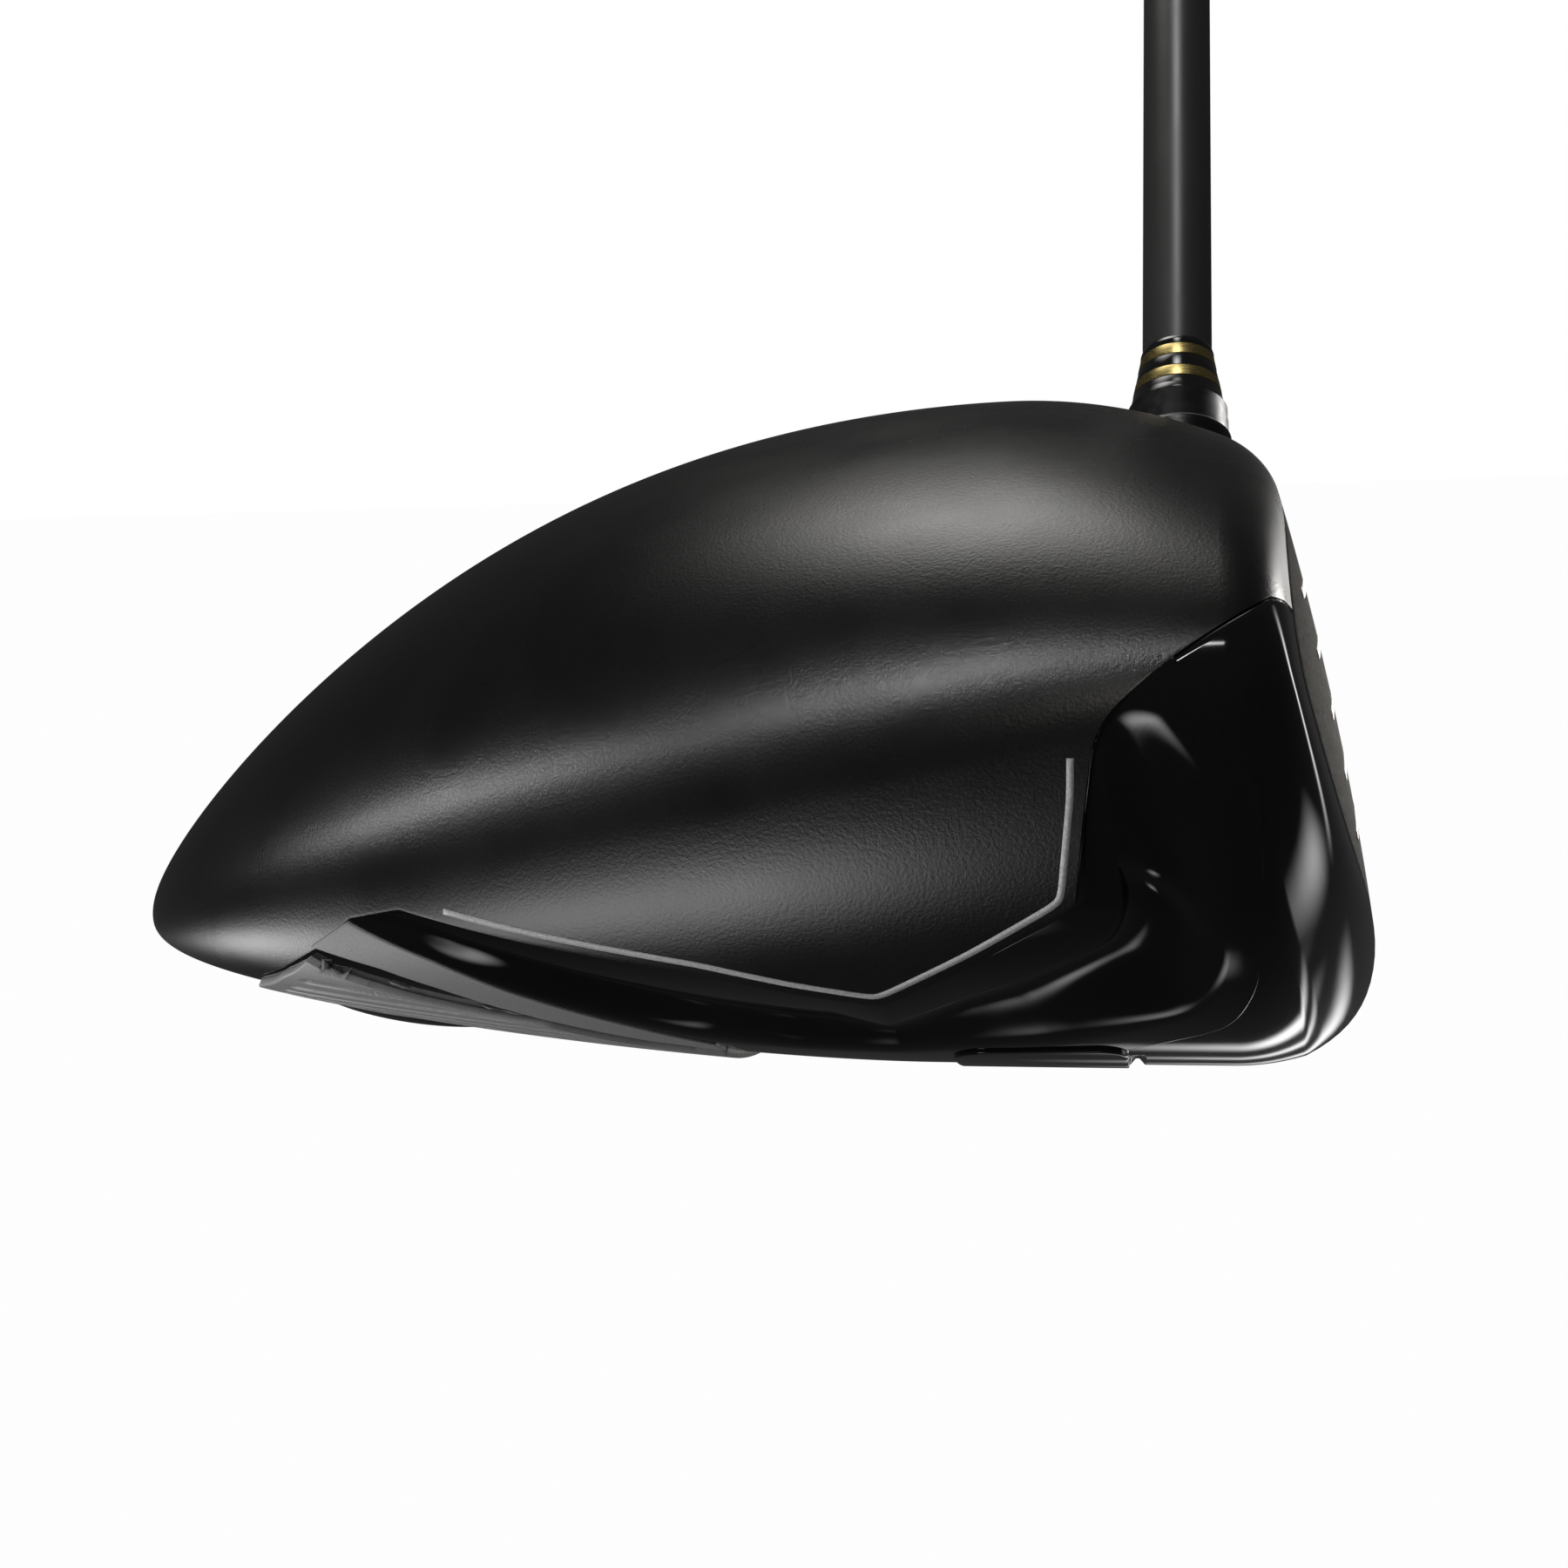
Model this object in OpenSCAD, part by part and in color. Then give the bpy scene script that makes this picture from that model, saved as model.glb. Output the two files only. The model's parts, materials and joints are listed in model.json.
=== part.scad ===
// Golf driver, right-handed: hollow head, adjustable hosel, full shaft and grip.
// +X is the target direction, +Y runs from toe to heel, +Z is up.
// The origin is the centre of the flat wear pad that the sole rests on.

/* [Head] */
// Depth of the head from the face reference line to the tail
head_depth = 116.8; // [114:0.1:118]
// Height of the crown above the ground
crown_z = 60.5; // [58:0.1:62]
// Half of the widest heel-to-toe width
half_width = 62.2; // [60:0.1:63]
// Distance of the wear pad behind the face reference line
face_x = 22; // [20:0.5:24]
// Loft of the face in degrees
loft = 12.5; // [9:0.1:14]
// Radius of the face curve seen from above
bulge_r = 319; // [280:1:340]
// Radius of the face curve seen from the side
roll_r = 246; // [220:1:300]
// Height of the face centre
face_mid_z = 30; // [28:0.5:32]

/* [Shells] */
// Thickness of the composite crown
crown_t = 1.0; // [0.8:0.1:1.2]
// Thickness of the cast body wall
body_t = 1.3; // [1.2:0.1:1.6]
// Thickness of the forged face
face_t = 2.6; // [2.2:0.1:3]
// Gap along every seam between two shells
seam = 0.08; // [0.05:0.01:0.12]
// Width of the bonding ledge under the crown edge
ledge_w = 5; // [4:0.5:7]

/* [Hosel] */
// Lie angle of the shaft in degrees
lie = 58.7; // [57:0.1:60]
// Angle between shaft and sleeve that shifts loft and lie when the sleeve turns
sleeve_tilt = 1; // [0:0.25:1.25]
// Distance of the shaft axis behind the face reference line
shaft_q = 12.7; // [12:0.1:14]
// Where the shaft axis meets the ground, measured from the face centre
shaft_y = 28.7; // [27:0.1:30]
// Outer radius of the hosel tube
hosel_r = 6.75; // [6.7:0.05:7]
// Radius of the sleeve bore in the hosel
bore_r = 6.1; // [6.05:0.05:6.15]
// Running clearance on a radius
run_gap = 0.06; // [0.03:0.01:0.08]
// Radius of the hosel bolt thread
bolt_r = 2.5; // [2.5:0.25:2.75]

/* [Shaft and grip] */
// Club length along the shaft from the ground to the grip cap
club_length = 1155.7; // [1143:0.1:1168]
// Outer radius of the shaft tip
tip_r = 4.4; // [4.25:0.05:4.45]
// Outer radius of the shaft butt
butt_r = 7.6; // [7.4:0.05:7.8]
// Length of the grip
grip_length = 267; // [255:1:275]
// Outer radius of the grip at its cap
grip_cap_r = 13.3; // [12.5:0.1:14]
// Outer radius of the grip at its mouth
grip_mouth_r = 8.9; // [8.8:0.1:9.5]

/* [Rear weights] */
// Radius of a rear weight
weight_r = 10.4; // [9.5:0.1:11]
// Distance of the weights behind the face reference line
weight_q = 84; // [82:0.5:86]
// Distance of each weight from the middle plane
weight_y = 26; // [24:0.5:27]
// Height of the centre of a weight's seat plane
weight_z = 7.5; // [7.2:0.1:7.8]
// Backward lean of a weight's axis in degrees
weight_lean = 9; // [7:1:11]
// Sideways lean of a weight's axis in degrees
weight_splay = 11.5; // [10:0.5:13]

/* [Hidden] */
$fn = 96;

// Head outline: where each curve starts and how full it is
widest_q = 9.9;
nose_in = 13.3;
plan_shape = [2.55, 2.48];
peak_q = 29.4;
nose_drop = 9.1;
top_shape = [1.8, 1.2];
keel_q = 34.3;
keel_z = 0.6;
keel_shape = [1.755, 2.05];
belt_front_z = 42;
belt_tail_z = 12.5;
upper_fullness = 1.96;
lower_fullness = 2.24;
// Radius allowance of the edge between face and body, over the top and under the sole
edge_top = 3.5;
edge_sole = 8;
// Share of the face outline that the forged plate fills
plate_share = 0.93;
ring_n = 60;
body_rows = 22;

// ---- Head surface ----

function clamp01(t) = min(max(t, 0), 1);
function signed_pow(t, k) = sign(t) * pow(abs(t), k);

// Falls from 1 at q0 to 0 at the tail
function fade(q, q0, shape) =
    pow(max(1 - pow(clamp01((q - q0) / (head_depth - q0)), shape[0]), 0), 1 / shape[1]);

function plan_half(q) =
    half_width * fade(q, widest_q, plan_shape)
    - nose_in * pow(max((widest_q - q) / widest_q, 0), 2);

function belt_z(q) = belt_front_z + (belt_tail_z - belt_front_z) * clamp01(q / head_depth);

function top_h(q) =
    (crown_z - belt_z(q)) * fade(q, peak_q, top_shape)
    - nose_drop * pow(max((peak_q - q) / peak_q, 0), 2);

function keel_h(q) = (belt_z(q) - keel_z) * fade(q, keel_q, keel_shape);

// [y, z] of the cross-section at distance q behind the face reference line
function section(q, a) =
    let (fullness = sin(a) >= 0 ? upper_fullness : lower_fullness,
         h = sin(a) >= 0 ? top_h(q) : keel_h(q))
    [plan_half(q) * signed_pow(cos(a), 2 / fullness),
     belt_z(q) + h * signed_pow(sin(a), 2 / fullness)];

// Distance of the face behind its reference line at [y, z]
function face_q(p) =
    (p[1] - face_mid_z) * tan(loft) + p[0] * p[0] / (2 * bulge_r)
    + pow(p[1] - face_mid_z, 2) / (2 * roll_r);

// Where the cross-section outline runs out through the face
function rim_q(a, q = 0, rounds = 14) =
    rounds == 0 ? q : rim_q(a, face_q(section(q, a)), rounds - 1);

function edge_size(a) = edge_top + (edge_sole - edge_top) * max(-sin(a), 0);

function to_point(q, p) = [face_x - q, p[0], p[1]];

// v runs from 0 behind the rounded face edge to 1 at the tail tip
function body_point(v, a, rim) =
    let (start = rim + edge_size(a), q = start + (head_depth - start) * v)
    to_point(q, section(q, a));

function face_point(s, a, rim) =
    let (corner = section(rim, a),
         reach = norm(corner - [0, face_mid_z]),
         share = s * (1 - edge_size(a) / reach),
         p = [corner[0] * share, face_mid_z + (corner[1] - face_mid_z) * share])
    to_point(face_q(p), p);

// Rounded edge between the face (t = 0) and the body (t = 1)
function edge_point(t, a, rim) =
    pow(1 - t, 2) * face_point(1, a, rim)
    + 2 * t * (1 - t) * to_point(rim, section(rim, a))
    + t * t * body_point(0, a, rim);

angles = [for (j = [0 : ring_n - 1]) j * 360 / ring_n];
rims = [for (a = angles) rim_q(a)];

function face_row(s) = [for (j = [0 : ring_n - 1]) face_point(s, angles[j], rims[j])];
function edge_row(t) = [for (j = [0 : ring_n - 1]) edge_point(t, angles[j], rims[j])];
function body_row(v) = [for (j = [0 : ring_n - 1]) body_point(v, angles[j], rims[j])];

head_rows = concat(
    [for (s = [0.3, 0.65, plate_share, 1]) face_row(s)],
    [for (t = [0.25, 0.5, 0.75]) edge_row(t)],
    [for (k = [0 : body_rows - 1]) body_row(sin(90 * k / body_rows))]
);
tail_tip = to_point(head_depth, [0, belt_tail_z]);

function unit(v) = v / norm(v);
function mean_point(row) = [for (k = [0 : 2]) [for (p = row) p[k]] * [for (p = row) 1] / len(row)];

// Moves every point of a stack of rings inwards along its normal
function inset_rows(rows, depth) = [for (i = [0 : len(rows) - 1]) [for (j = [0 : ring_n - 1])
    let (along = rows[min(i + 1, len(rows) - 1)][j] - rows[max(i - 1, 0)][j],
         around = rows[i][(j + 1) % ring_n] - rows[i][(j + ring_n - 1) % ring_n])
    rows[i][j] - depth * unit(cross(along, around))]];

// Closed solid through a stack of rings, with a point at each end
module ring_stack(rows, first, last) {
    count = len(rows);
    points = concat([first], [for (row = rows) each row], [last]);
    function at(i, j) = 1 + i * ring_n + j % ring_n;
    faces = concat(
        [for (j = [0 : ring_n - 1]) [0, at(0, j + 1), at(0, j)]],
        [for (i = [0 : count - 2]) for (j = [0 : ring_n - 1]) each
            [[at(i, j), at(i + 1, j + 1), at(i + 1, j)], [at(i, j), at(i, j + 1), at(i + 1, j + 1)]]],
        [for (j = [0 : ring_n - 1]) [len(points) - 1, at(count - 1, j), at(count - 1, j + 1)]]
    );
    polyhedron(points, faces, convexity = 6);
}

// The head as one closed solid whose skin lies at a depth below the outer surface
module head_solid(depth) {
    rows = inset_rows(head_rows, depth);
    keep = depth > 0 ? [for (i = [0 : len(rows) - 4]) rows[i]] : rows;
    tip = depth > 0 ? mean_point(keep[len(keep) - 1]) : tail_tip - [depth, 0, 0];
    ring_stack(keep, to_point(face_q([0, face_mid_z]) + depth, [0, face_mid_z]), tip);
}

module head_wall(outer, inner) {
    difference() {
        head_solid(outer);
        head_solid(inner);
    }
}

// Slab under the face outline, between a front and a back depth
module face_slab(share, front, back) {
    rows = [for (s = [0.3, 0.65, 1]) face_row(s * share)];
    front_rows = inset_rows(rows, front);
    back_rows = inset_rows(rows, back);
    mid = to_point(0, [0, face_mid_z]);
    ring_stack(concat(front_rows, [back_rows[2], back_rows[1], back_rows[0]]),
        mid - [front, 0, 0], mid - [back, 0, 0]);
}

// ---- Outlines seen from the side: [distance behind the face, height] ----

crown_edge = [[-30, 46.5], [9.5, 45.6], [13.9, 43.1], [17.6, 40.4], [20.2, 37.4], [21, 33],
    [21.7, 25.3], [23, 24.3], [28.4, 20.6], [35.5, 16.2], [42, 17.4], [48.4, 18.9],
    [61.5, 20.9], [72, 22.7], [77, 21.4], [91, 14.2], [93.5, 12], [93.5, -10]];
strip_top = [[77, 21.2], [69.7, 18.5], [64, 15.9], [56.3, 12.8], [50, 10]];
strip_bottom = [[50, 8.6], [56, 10], [62.7, 12.6], [70.5, 15.8], [75.1, 17.3], [80, 19.3]];
panel_edge = [[50, 8.3], [56, 9.7], [62.7, 12.3], [70.5, 15.5], [75.1, 17], [79.4, 18.8], [91, 13.8],
    [93, 11.8], [93, -10], [50, -10]];

module through_head() {
    rotate([90, 0, 0])
        translate([face_x, 0, 0])
            mirror([1, 0, 0])
                linear_extrude(200, center = true)
                    children();
}

module crown_side(grow) {
    through_head()
        offset(delta = grow)
            polygon(concat(crown_edge, [[140, -10], [140, 90], [-30, 90]]));
}

module strip_side(grow) {
    through_head()
        offset(delta = grow)
            polygon(concat(strip_top, strip_bottom));
}

module panel_side(grow) {
    through_head()
        offset(delta = grow)
            polygon(panel_edge);
}

// ---- Places ----

// Shaft axis: local +Z runs up the shaft from the ground
module at_shaft() {
    translate([face_x - shaft_q, shaft_y, 0])
        rotate([lie - 90, 0, 0])
            children();
}

// Hosel axis: meets the shaft axis at the top of the sleeve
module at_hosel() {
    at_shaft()
        translate([0, 0, pivot_t])
            rotate([-sleeve_tilt, 0, 0])
                translate([0, 0, -pivot_t])
                    children();
}

// Seat of a rear weight: local +Z points out of the sole
module at_weight(side) {
    translate([face_x - weight_q, side * weight_y, weight_z])
        rotate([180 + side * weight_splay, 0, 0])
            rotate([0, -weight_lean, 0])
                children();
}

module ring(inner, outer, low, high) {
    translate([0, 0, low])
        difference() {
            cylinder(r = outer, h = high - low);
            translate([0, 0, -1])
                cylinder(r = inner, h = high - low + 2);
        }
}

// Six-lobed driver socket, cut downwards from z = 0
module lobed_socket(r, depth) {
    translate([0, 0, -depth])
        linear_extrude(depth + 1)
            for (turn = [0 : 60 : 120])
                rotate(turn)
                    square([2 * r, 0.55 * r], center = true);
}

// Stations along the hosel axis
tube_low = 2;
tube_foot_z = 7.4;
clip_t = 13.6;
head_low_t = 15;
washer_t = 20;
ledge_low_t = 21;
ledge_high_t = 24;
sleeve_low_t = 26;
bolt_end_t = 37;
tube_top_t = 66.9;
ring_top_t = 69.3;
collar_top_t = 71.2;
pivot_t = 70;
access_r = 4.6;
bolt_head_r = 4;

// Stations along the shaft axis
tip_t = 41;
ferrule_low_t = 71.4;
ferrule_top_t = 80.4;
band_t = [73.6, 77.4];
band_h = 1.75;
band_seat_r = 4.8;
ferrule_neck_t = 77.9;
ferrule_neck_r = 5.1;
ferrule_taper = 0.172;
ferrule_bore_r = tip_r + 0.25;
ferrule_profile = [[ferrule_bore_r, ferrule_low_t], [6.4, ferrule_low_t], [6.05, 72.4],
    [ferrule_neck_r - 0.03, ferrule_neck_t], [4.98, 79.3], [4.9, 79.9],
    [4.72, ferrule_top_t], [ferrule_bore_r, ferrule_top_t]];
function band_outer_r(t) = ferrule_neck_r + (ferrule_neck_t - t) * ferrule_taper;
butt_t = club_length - 5.5;
taper_end_t = 1000;
grip_low_t = club_length - grip_length;
tape_t = 0.2;
vent_r = 2;

// ---- Head shells ----

module hosel_opening(gap) {
    at_hosel()
        translate([0, 0, tube_low])
            cylinder(r = hosel_r + gap, h = 90);
}

port_rim = 1.7;
port_opening_h = 20;

module port_opening(side) {
    at_weight(side)
        translate([0, 0, -6])
            cylinder(r = weight_r + port_rim + seam, h = port_opening_h);
}

module sole_region(q_low, q_high, y_low, y_high) {
    translate([face_x - q_high, y_low, -5])
        cube([q_high - q_low, y_high - y_low, 22]);
}

plate_q = [18.3, 31.5];
plate_y = [-47, 20];
plate_proud = 0.4;
recess = 0.45;
slot_q = [16.8, 18];
slot_y = [-44, 20];
slot_depth = 1.1;
pad_size = [7, 20, 0.95];

module body_shell() {
    color("#151515")
        resize([0, 0, 0])
            difference() {
                union() {
                    difference() {
                        head_wall(0, body_t);
                        crown_side(seam);
                    }
                    difference() {
                        head_wall(crown_t + seam, crown_t + seam + 0.9);
                        crown_side(-ledge_w);
                    }
                }
                face_slab(plate_share + 0.002, -2, face_t + 2);
                hosel_opening(seam);
                at_hosel()
                    cylinder(r = access_r + 0.4, h = 20);
                port_opening(-1);
                port_opening(1);
                intersection() {
                    head_wall(-2, recess);
                    union() {
                        panel_side(seam);
                        strip_side(seam);
                        sole_region(plate_q[0] - seam, plate_q[1] + seam, plate_y[0] - seam, plate_y[1] + seam);
                    }
                }
                intersection() {
                    head_wall(-2, slot_depth);
                    sole_region(slot_q[0], slot_q[1], slot_y[0], slot_y[1]);
                }
            }
}

module crown_shell() {
    color("#1c1c1d")
        resize([0, 0, 0])
            difference() {
                intersection() {
                    head_wall(0, crown_t);
                    crown_side(0);
                }
                face_slab(plate_share + 0.002, -2, face_t + 2);
                hosel_opening(seam);
                port_opening(-1);
                port_opening(1);
            }
}

score_z = [44.1, 39.6, 35, 30.4, 25.8];
score_y = 39;
score_l = 12;
score_w = 0.9;
score_reach = 60;

module score_bars(grow) {
    for (side = [-1, 1])
        for (z = score_z)
            translate([face_x + 4, side * (score_y - score_l / 2), z])
                cube([score_reach, score_l + 2 * grow, score_w + 2 * grow], center = true);
}

module face_plate() {
    color("#4a4742")
        resize([0, 0, 0])
            difference() {
                face_slab(plate_share, 0, face_t);
                intersection() {
                    face_slab(plate_share + 0.02, -2, 0.35);
                    score_bars(0);
                }
                hosel_opening(seam);
            }
}

module score_inlay() {
    color("#d8d8d4")
        resize([0, 0, 0])
            intersection() {
                face_slab(plate_share - 0.01, 0.05, 0.3);
                score_bars(-0.05);
            }
}

module sole_plate() {
    color("#101010")
        resize([0, 0, 0])
            difference() {
                intersection() {
                    head_wall(-plate_proud, recess - 0.1);
                    sole_region(plate_q[0], plate_q[1], plate_y[0], plate_y[1]);
                }
                translate([0, 0, pad_size[2]])
                    cube([pad_size[0] + 2 * seam, pad_size[1] + 2 * seam, 4], center = true);
            }
}

module wear_pad() {
    color("#8b8b8b")
        translate([0, 0, pad_size[2] / 2])
            cube(pad_size, center = true);
}

module slot_insert() {
    color("#202022")
        resize([0, 0, 0])
            intersection() {
                head_wall(0.5, slot_depth - 0.1);
                sole_region(slot_q[0] + seam, slot_q[1] - seam, slot_y[0] + seam, slot_y[1] - seam);
            }
}

module side_strips() {
    color("#3a3a3a")
        resize([0, 0, 0])
            intersection() {
                head_wall(-0.2, 0.35);
                strip_side(0);
            }
}

module ribbed_panel() {
    color("#4b4b4b")
        resize([0, 0, 0])
            difference() {
                intersection() {
                    head_wall(-0.8, 0.35);
                    panel_side(0);
                }
                port_opening(-1);
                port_opening(1);
            }
}

// ---- Hosel ----

module hosel_tube() {
    color("#17171a")
        difference() {
            at_hosel()
                difference() {
                    translate([0, 0, tube_low])
                        cylinder(r = hosel_r, h = tube_top_t - tube_low);
                    cylinder(r = access_r, h = ledge_low_t);
                    cylinder(r = bolt_r + 0.25, h = ledge_high_t + 1);
                    translate([0, 0, ledge_high_t])
                        cylinder(r = bore_r, h = 60);
                    for (side = [-1, 1])
                        translate([side * hosel_r, 0, tube_top_t])
                            cube([3, 2.2, 2.4], center = true);
                }
            translate([-60, -40, -5])
                cube([120, 120, tube_foot_z + 5]);
        }
}

module hosel_bolt() {
    color("#2b2b2e")
        at_hosel()
            difference() {
                union() {
                    translate([0, 0, head_low_t])
                        cylinder(r = bolt_head_r, h = washer_t - head_low_t - 0.05);
                    translate([0, 0, washer_t - 1])
                        cylinder(r = bolt_r, h = bolt_end_t - washer_t + 1);
                }
                translate([0, 0, head_low_t])
                    mirror([0, 0, 1])
                        lobed_socket(2.2, 2.6);
            }
}

module bolt_washer() {
    color("#9a9a9a")
        at_hosel()
            ring(bolt_r + 0.2, access_r - 0.05, washer_t, ledge_low_t - 0.02);
}

module bolt_clip() {
    color("#6d6d70")
        at_hosel()
            ring(3.1, access_r - 0.02, clip_t, head_low_t - 0.2);
}

module index_ring() {
    color("#202024")
        at_hosel()
            union() {
                ring(bore_r - 0.01, hosel_r - 0.1, tube_top_t + 0.05, ring_top_t);
                for (side = [-1, 1])
                    translate([side * (bore_r + 0.3), 0, tube_top_t + 0.1])
                        cube([0.4, 1.9, 2], center = true);
            }
}

module sleeve() {
    color("#1f1f22")
        difference() {
            at_hosel()
                difference() {
                    union() {
                        translate([0, 0, sleeve_low_t])
                            cylinder(r = bore_r - run_gap, h = collar_top_t - sleeve_low_t);
                        translate([0, 0, ring_top_t + 0.05])
                            cylinder(r = hosel_r - 0.2, h = collar_top_t - ring_top_t - 0.05);
                    }
                    translate([0, 0, sleeve_low_t - 1])
                        cylinder(r = bolt_r + run_gap, h = 13);
                }
            at_shaft()
                translate([0, 0, tip_t - 0.5])
                    cylinder(r = tip_r + 0.05, h = 60);
        }
}

// ---- Shaft assembly ----

module ferrule() {
    color("#0f0f10")
        at_shaft()
            rotate_extrude()
                difference() {
                    polygon(ferrule_profile);
                    for (t = band_t)
                        translate([band_seat_r, t - 0.02])
                            square([4, band_h + 0.04]);
                }
}

module trim_rings() {
    color("#b89a4e")
        at_shaft()
            rotate_extrude()
                for (t = band_t)
                    polygon([[band_seat_r + 0.02, t], [band_outer_r(t), t],
                        [band_outer_r(t + band_h), t + band_h], [band_seat_r + 0.02, t + band_h]]);
}

module shaft() {
    color("#3b3a39")
        at_shaft()
            rotate_extrude()
                polygon([[tip_r - 1.5, tip_t], [tip_r, tip_t], [tip_r, ferrule_low_t],
                    [tip_r + 0.15, ferrule_top_t], [butt_r, taper_end_t], [butt_r, butt_t],
                    [butt_r - 0.9, butt_t], [butt_r - 0.9, taper_end_t]]);
}

module tip_plug() {
    color("#d9c9a0")
        at_shaft()
            translate([0, 0, tip_t])
                cylinder(r = tip_r - 1.52, h = 8);
}

module grip_tape() {
    color("#d8d2bd")
        at_shaft()
            rotate_extrude()
                translate([butt_r + 0.01, taper_end_t])
                    square([tape_t, butt_t - taper_end_t - 1]);
}

module grip() {
    color("#1a1a1b")
        at_shaft()
            rotate_extrude()
                polygon(concat(
                    [for (k = [0 : 8])
                        let (share = k / 8, t = grip_low_t + (butt_t - grip_low_t) * share)
                        [grip_mouth_r + (grip_cap_r - grip_mouth_r) * pow(share, 1.35), t]],
                    [[butt_r + tape_t + 0.03, butt_t], [butt_r + tape_t + 0.03, grip_low_t]]));
}

module grip_cap() {
    color("#141415")
        at_shaft()
            translate([0, 0, butt_t + 0.05])
                rotate_extrude()
                    polygon([[vent_r, 0], [grip_cap_r, 0], [grip_cap_r, 1.8], [12.7, 3.6],
                        [10.5, 4.9], [6, 5.45], [vent_r, 5.45]]);
}

// ---- Rear weights ----

module weight_port(side) {
    color("#2a2a2b")
        at_weight(side)
            rotate_extrude()
                polygon([[2.56, -14], [5.5, -14], [5.5, -5], [weight_r + 1.6, -5],
                    [weight_r + 1.6, 0.2], [weight_r + 0.15, 0.2], [weight_r + 0.15, -3.5], [2.56, -3.5]]);
}

module weight_disc(side) {
    color("#0c0c0c")
        at_weight(side)
            rotate_extrude()
                polygon([[2.6, -3.45], [weight_r, -3.45], [weight_r, 1.2], [weight_r - 0.6, 1.9],
                    [8, 2.7], [6, 3.1], [4.3, 3.2], [4.3, 0.6], [2.6, 0.6]]);
}

module weight_screw(side) {
    color("#3c3c3e")
        at_weight(side)
            difference() {
                union() {
                    translate([0, 0, -12.5])
                        cylinder(r = 2.5, h = 14);
                    translate([0, 0, 0.65])
                        cylinder(r = 4.2, h = 2.4);
                }
                translate([0, 0, 3.05])
                    lobed_socket(2.2, 2);
            }
}

body_shell();
crown_shell();
face_plate();
score_inlay();
hosel_tube();
sole_plate();
wear_pad();
slot_insert();
side_strips();
ribbed_panel();
weight_port(-1);  // toe_port
weight_port(1);  // heel_port
weight_disc(-1);  // toe_weight
weight_disc(1);  // heel_weight
weight_screw(-1);  // toe_weight_screw
weight_screw(1);  // heel_weight_screw
hosel_bolt();
bolt_washer();
bolt_clip();
index_ring();
sleeve();
ferrule();
trim_rings();
shaft();
tip_plug();
grip_tape();
grip();
grip_cap();
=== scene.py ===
import json
import math

import bmesh
import bpy
import numpy as np
from mathutils import Matrix, Vector
from mathutils.bvhtree import BVHTree

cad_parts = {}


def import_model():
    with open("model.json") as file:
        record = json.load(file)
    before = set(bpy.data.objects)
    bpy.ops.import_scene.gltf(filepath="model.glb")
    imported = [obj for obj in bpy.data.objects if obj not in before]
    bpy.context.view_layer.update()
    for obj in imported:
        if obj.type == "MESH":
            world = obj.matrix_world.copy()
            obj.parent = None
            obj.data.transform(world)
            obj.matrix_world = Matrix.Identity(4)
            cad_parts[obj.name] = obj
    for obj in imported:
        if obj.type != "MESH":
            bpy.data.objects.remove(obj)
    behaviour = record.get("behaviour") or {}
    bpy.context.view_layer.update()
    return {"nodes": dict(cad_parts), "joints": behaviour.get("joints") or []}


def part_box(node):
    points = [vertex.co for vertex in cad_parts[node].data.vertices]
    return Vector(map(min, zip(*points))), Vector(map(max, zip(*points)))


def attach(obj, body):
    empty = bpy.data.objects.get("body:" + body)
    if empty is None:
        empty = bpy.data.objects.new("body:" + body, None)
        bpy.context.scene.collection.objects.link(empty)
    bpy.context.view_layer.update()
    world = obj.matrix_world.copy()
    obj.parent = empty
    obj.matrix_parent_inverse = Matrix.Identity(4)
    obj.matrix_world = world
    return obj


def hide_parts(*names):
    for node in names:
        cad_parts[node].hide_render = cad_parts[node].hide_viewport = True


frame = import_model()

MM = 0.001
NODES = frame["nodes"]
JOINTS = {j["name"]: j for j in frame["joints"]}

# ---------------------------------------------------------------- driving dimensions, in mm

FACE_X = 22.0
CROWN_LOW, CROWN_HIGH = (np.array(c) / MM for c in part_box("crown_shell"))
BODY_HIGH = np.array(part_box("body_shell")[1]) / MM
DEPTH = FACE_X - CROWN_LOW[0]
CROWN_Z = CROWN_HIGH[2]
HALF_WIDTH = BODY_HIGH[1]

LOFT = math.radians(12.5)
BULGE, ROLL, FACE_MID = 319.0, 246.0, 30.0
WIDEST_Q, NOSE_IN, PLAN_SHAPE = 9.9, 13.3, (2.55, 2.48)
PEAK_Q, NOSE_DROP, TOP_SHAPE = 29.4, 9.1, (1.8, 1.2)
KEEL_Q, KEEL_Z, KEEL_SHAPE = 34.3, 0.6, (1.755, 2.05)
BELT_FRONT, BELT_TAIL = 42.0, 12.5
UPPER_FULL, LOWER_FULL = 1.96, 2.24
EDGE_TOP, EDGE_SOLE = 3.5, 8.0
PLATE_SHARE = 0.96
# From here back the rows of the skin keep a constant distance behind the face
LEVEL_Q = 14.0
REAR_Q = 93.5

# Lower edge of the matte crown on the side: [distance behind the face, height]
CROWN_EDGE = np.array([[9.5, 45.6], [13.9, 43.1], [17.6, 40.4], [20.2, 37.4], [21.0, 33.0],
                       [21.7, 25.3], [23.0, 24.3], [28.4, 20.6], [35.5, 16.2], [42.0, 17.4],
                       [48.4, 18.9], [61.5, 20.9], [72.0, 22.7], [77.0, 21.4], [79.6, 19.1],
                       [86.0, 15.5], [91.0, 13.2], [93.5, 11.6]])
VEE = 8
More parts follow.
